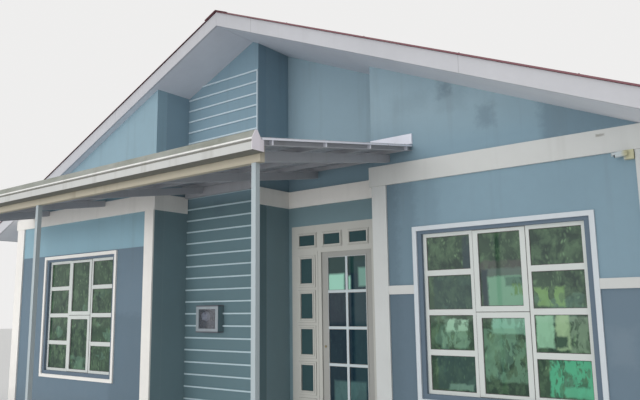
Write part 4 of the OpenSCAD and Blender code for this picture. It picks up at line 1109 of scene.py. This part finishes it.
strap_x = np.linspace(gutter_low.x + strap_inset, gutter_high.x - strap_inset, strap_count)
new_piece("gutter_straps", *prisms(strap_outline, strap_x - strap_half, strap_x + strap_half),
          bolt_material)
anchor = turned(np.array([[0.0120, 0.0], [0.0120, 0.0025], [0.0085, 0.0026], [0.0085, 0.0105],
                          [0.0045, 0.0106], [0.0045, 0.0200], [0.0038, 0.0208]]), 12, flats=(2, 3))
posts_low, posts_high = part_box("canopy_posts")
plate_top = 0.0081
bolt_in = 0.020
post_x = np.array([gutter_high.x - 0.107, (gutter_low.x + gutter_high.x) / 2, gutter_low.x + 0.060])
post_y = (posts_low.y + posts_high.y) / 2
bolt_at = (posts_high.y - posts_low.y) / 2 - bolt_in
corners = grid_of(post_x, np.array([-bolt_at, bolt_at]), np.array([-bolt_at, bolt_at]))
spots = np.stack([corners[:, 0] + corners[:, 1], post_y + corners[:, 2], np.full(len(corners), plate_top)],
                 axis=1)
new_piece("post_anchor_bolts", *repeated(anchor, spots, facing((0, 0, 1), len(spots))), bolt_material)

# Wall cabinet
# A small sheet-steel box with a pale front frame, its sides in the wall's painted
# shade tone. The top and bottom edges of its front and the inside of the box are
# painted dark, as painted shade. A smoked pane covers a round meter body on its back plate.
case_low, case_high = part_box("wall_cabinet")
case_mid = (case_low + case_high) / 2
border = 0.045
case_material, tree, shader = new_material("cabinet_paint")
_, x, y, z = axes(tree)
front_part = spread(tree, y, case_low.y + 0.004, case_low.y + 0.002)
# The sides take the wall's painted shade tone.
colour = mix(tree, front_part, canopy_shade_paint, paint(150, 159, 165))
half_height = (case_high.z - case_low.z) / 2
# Top and bottom edges of the front painted dark: painted shade.
from_middle = sums(tree, "ABSOLUTE", sums(tree, "SUBTRACT", z, case_mid.z))
edge_shade = spread(tree, from_middle, half_height - 0.016, half_height - 0.010)
colour = mix(tree, edge_shade, colour, paint(92, 92, 100))
mask_rim = border - 0.001
opening = case_high - case_mid - Vector((mask_rim, 0.0, mask_rim))
# The inside of the box painted dark: painted shade.
hollow_shade = product(tree, patch_mask(tree, case_mid, opening),
                 spread(tree, y, case_low.y + 0.010, case_low.y + 0.014))
colour = mix(tree, hollow_shade, colour, paint(44, 58, 66))
weathered(tree, shader, colour, fading=0.6, streaks=0.5, top=1.7, splash=0.0, grain=0.1, bump_depth=0.001)
cover(case_material, "wall_cabinet")
inner_low = Vector((case_low.x + border, case_low.y, case_low.z + border))
inner_high = Vector((case_high.x - border, case_high.y - 0.020, case_high.z - border))
pane_fit = 0.0005
pane_t = 0.003
chamfer = 0.001
pane_y = case_low.y + 0.012
pane_foot = inner_low.z + pane_fit
pane_head = inner_high.z - pane_fit
pane_outline = np.array([[pane_y, pane_foot + chamfer], [pane_y + chamfer, pane_foot],
                         [pane_y + pane_t, pane_foot], [pane_y + pane_t, pane_head],
                         [pane_y + chamfer, pane_head], [pane_y, pane_head - chamfer]])
pane_material = two_tone("smoked_cabinet_glass", paint(196, 200, 212), paint(216, 220, 230), 14.0, 4.0,
                         rough=(0.05, 0.14), coarse=0.6, Transmission_Weight=0.90)
new_piece("cabinet_pane", *prisms(pane_outline, np.array([inner_low.x + pane_fit]),
                                  np.array([inner_high.x - pane_fit])), pane_material)
meter_material = two_tone("grey_meter_housing", paint(164, 168, 174), paint(194, 197, 202), 50.0, 4.0,
                          rough=(0.35, 0.6))
meter_profile = np.array([[0.060, 0.0], [0.060, 0.010], [0.055, 0.013], [0.052, 0.018], [0.052, 0.036],
                          [0.049, 0.042], [0.040, 0.046], [0.026, 0.0485], [0.011, 0.0495]])
meter_in = 0.066
meter_up = 0.030
meter_at = np.array([[inner_low.x + meter_in, inner_high.y - fit, case_mid.z + meter_up]])
new_piece("meter_body", *repeated(turned(meter_profile, 48), meter_at, facing((0, -1, 0))), meter_material,
          smooth=True)

# Spot camera
# White plastic housing gone yellow, with a black bezel and a dark lens at its
# front end.
plastic_material, tree, shader = new_material("yellowed_plastic")
yellowed = spread(tree, noise(tree, axes(tree)[0], 12.0, 4.0), 0.3, 0.7, 0.3, 1.0)
colour = mix(tree, yellowed, paint(196, 195, 172), paint(190, 187, 150))
tube_from = 4.125
tube_part = spread(tree, axes(tree)[1], tube_from, tube_from - 0.030)
colour = mix(tree, tube_part, colour, paint(196, 205, 208))
weathered(tree, shader, colour, fading=0.6, streaks=0.5, top=2.9, splash=0.0, grain=0.05, bump_depth=0.001)
cover(plastic_material, "wall_camera")
camera_axis = np.array([-0.9254, -0.3368, -0.1736])
tube_end = np.array([[4.0469, front_y - 0.097, 2.760]]) + camera_axis * fit
bezel_material = two_tone("black_bezel", (0.012, 0.012, 0.013, 1), (0.03, 0.03, 0.03, 1), 200.0, 2.0,
                          tone_at=(0.0, 1.0), rough=(0.35, 0.5))
bezel_profile = np.array([[0.0185, 0.0], [0.0185, 0.0025], [0.0165, 0.0035], [0.0105, 0.0020],
                          [0.0100, 0.0005]])
new_piece("camera_bezel", *repeated(turned(bezel_profile, 40), tube_end, facing(camera_axis)),
          bezel_material)
lens_material = two_tone("dark_lens", (0.01, 0.012, 0.03, 1), (0.02, 0.01, 0.03, 1), 80.0, 1.0,
                         rough=0.04)
lens_angle = np.linspace(0.0, 1.35, 8)
lens_profile = np.stack([0.0098 * np.cos(lens_angle), 0.0006 + 0.0045 * np.sin(lens_angle)], axis=1)
new_piece("camera_lens", *repeated(turned(lens_profile, 32), tube_end, facing(camera_axis)), lens_material,
          smooth=True)
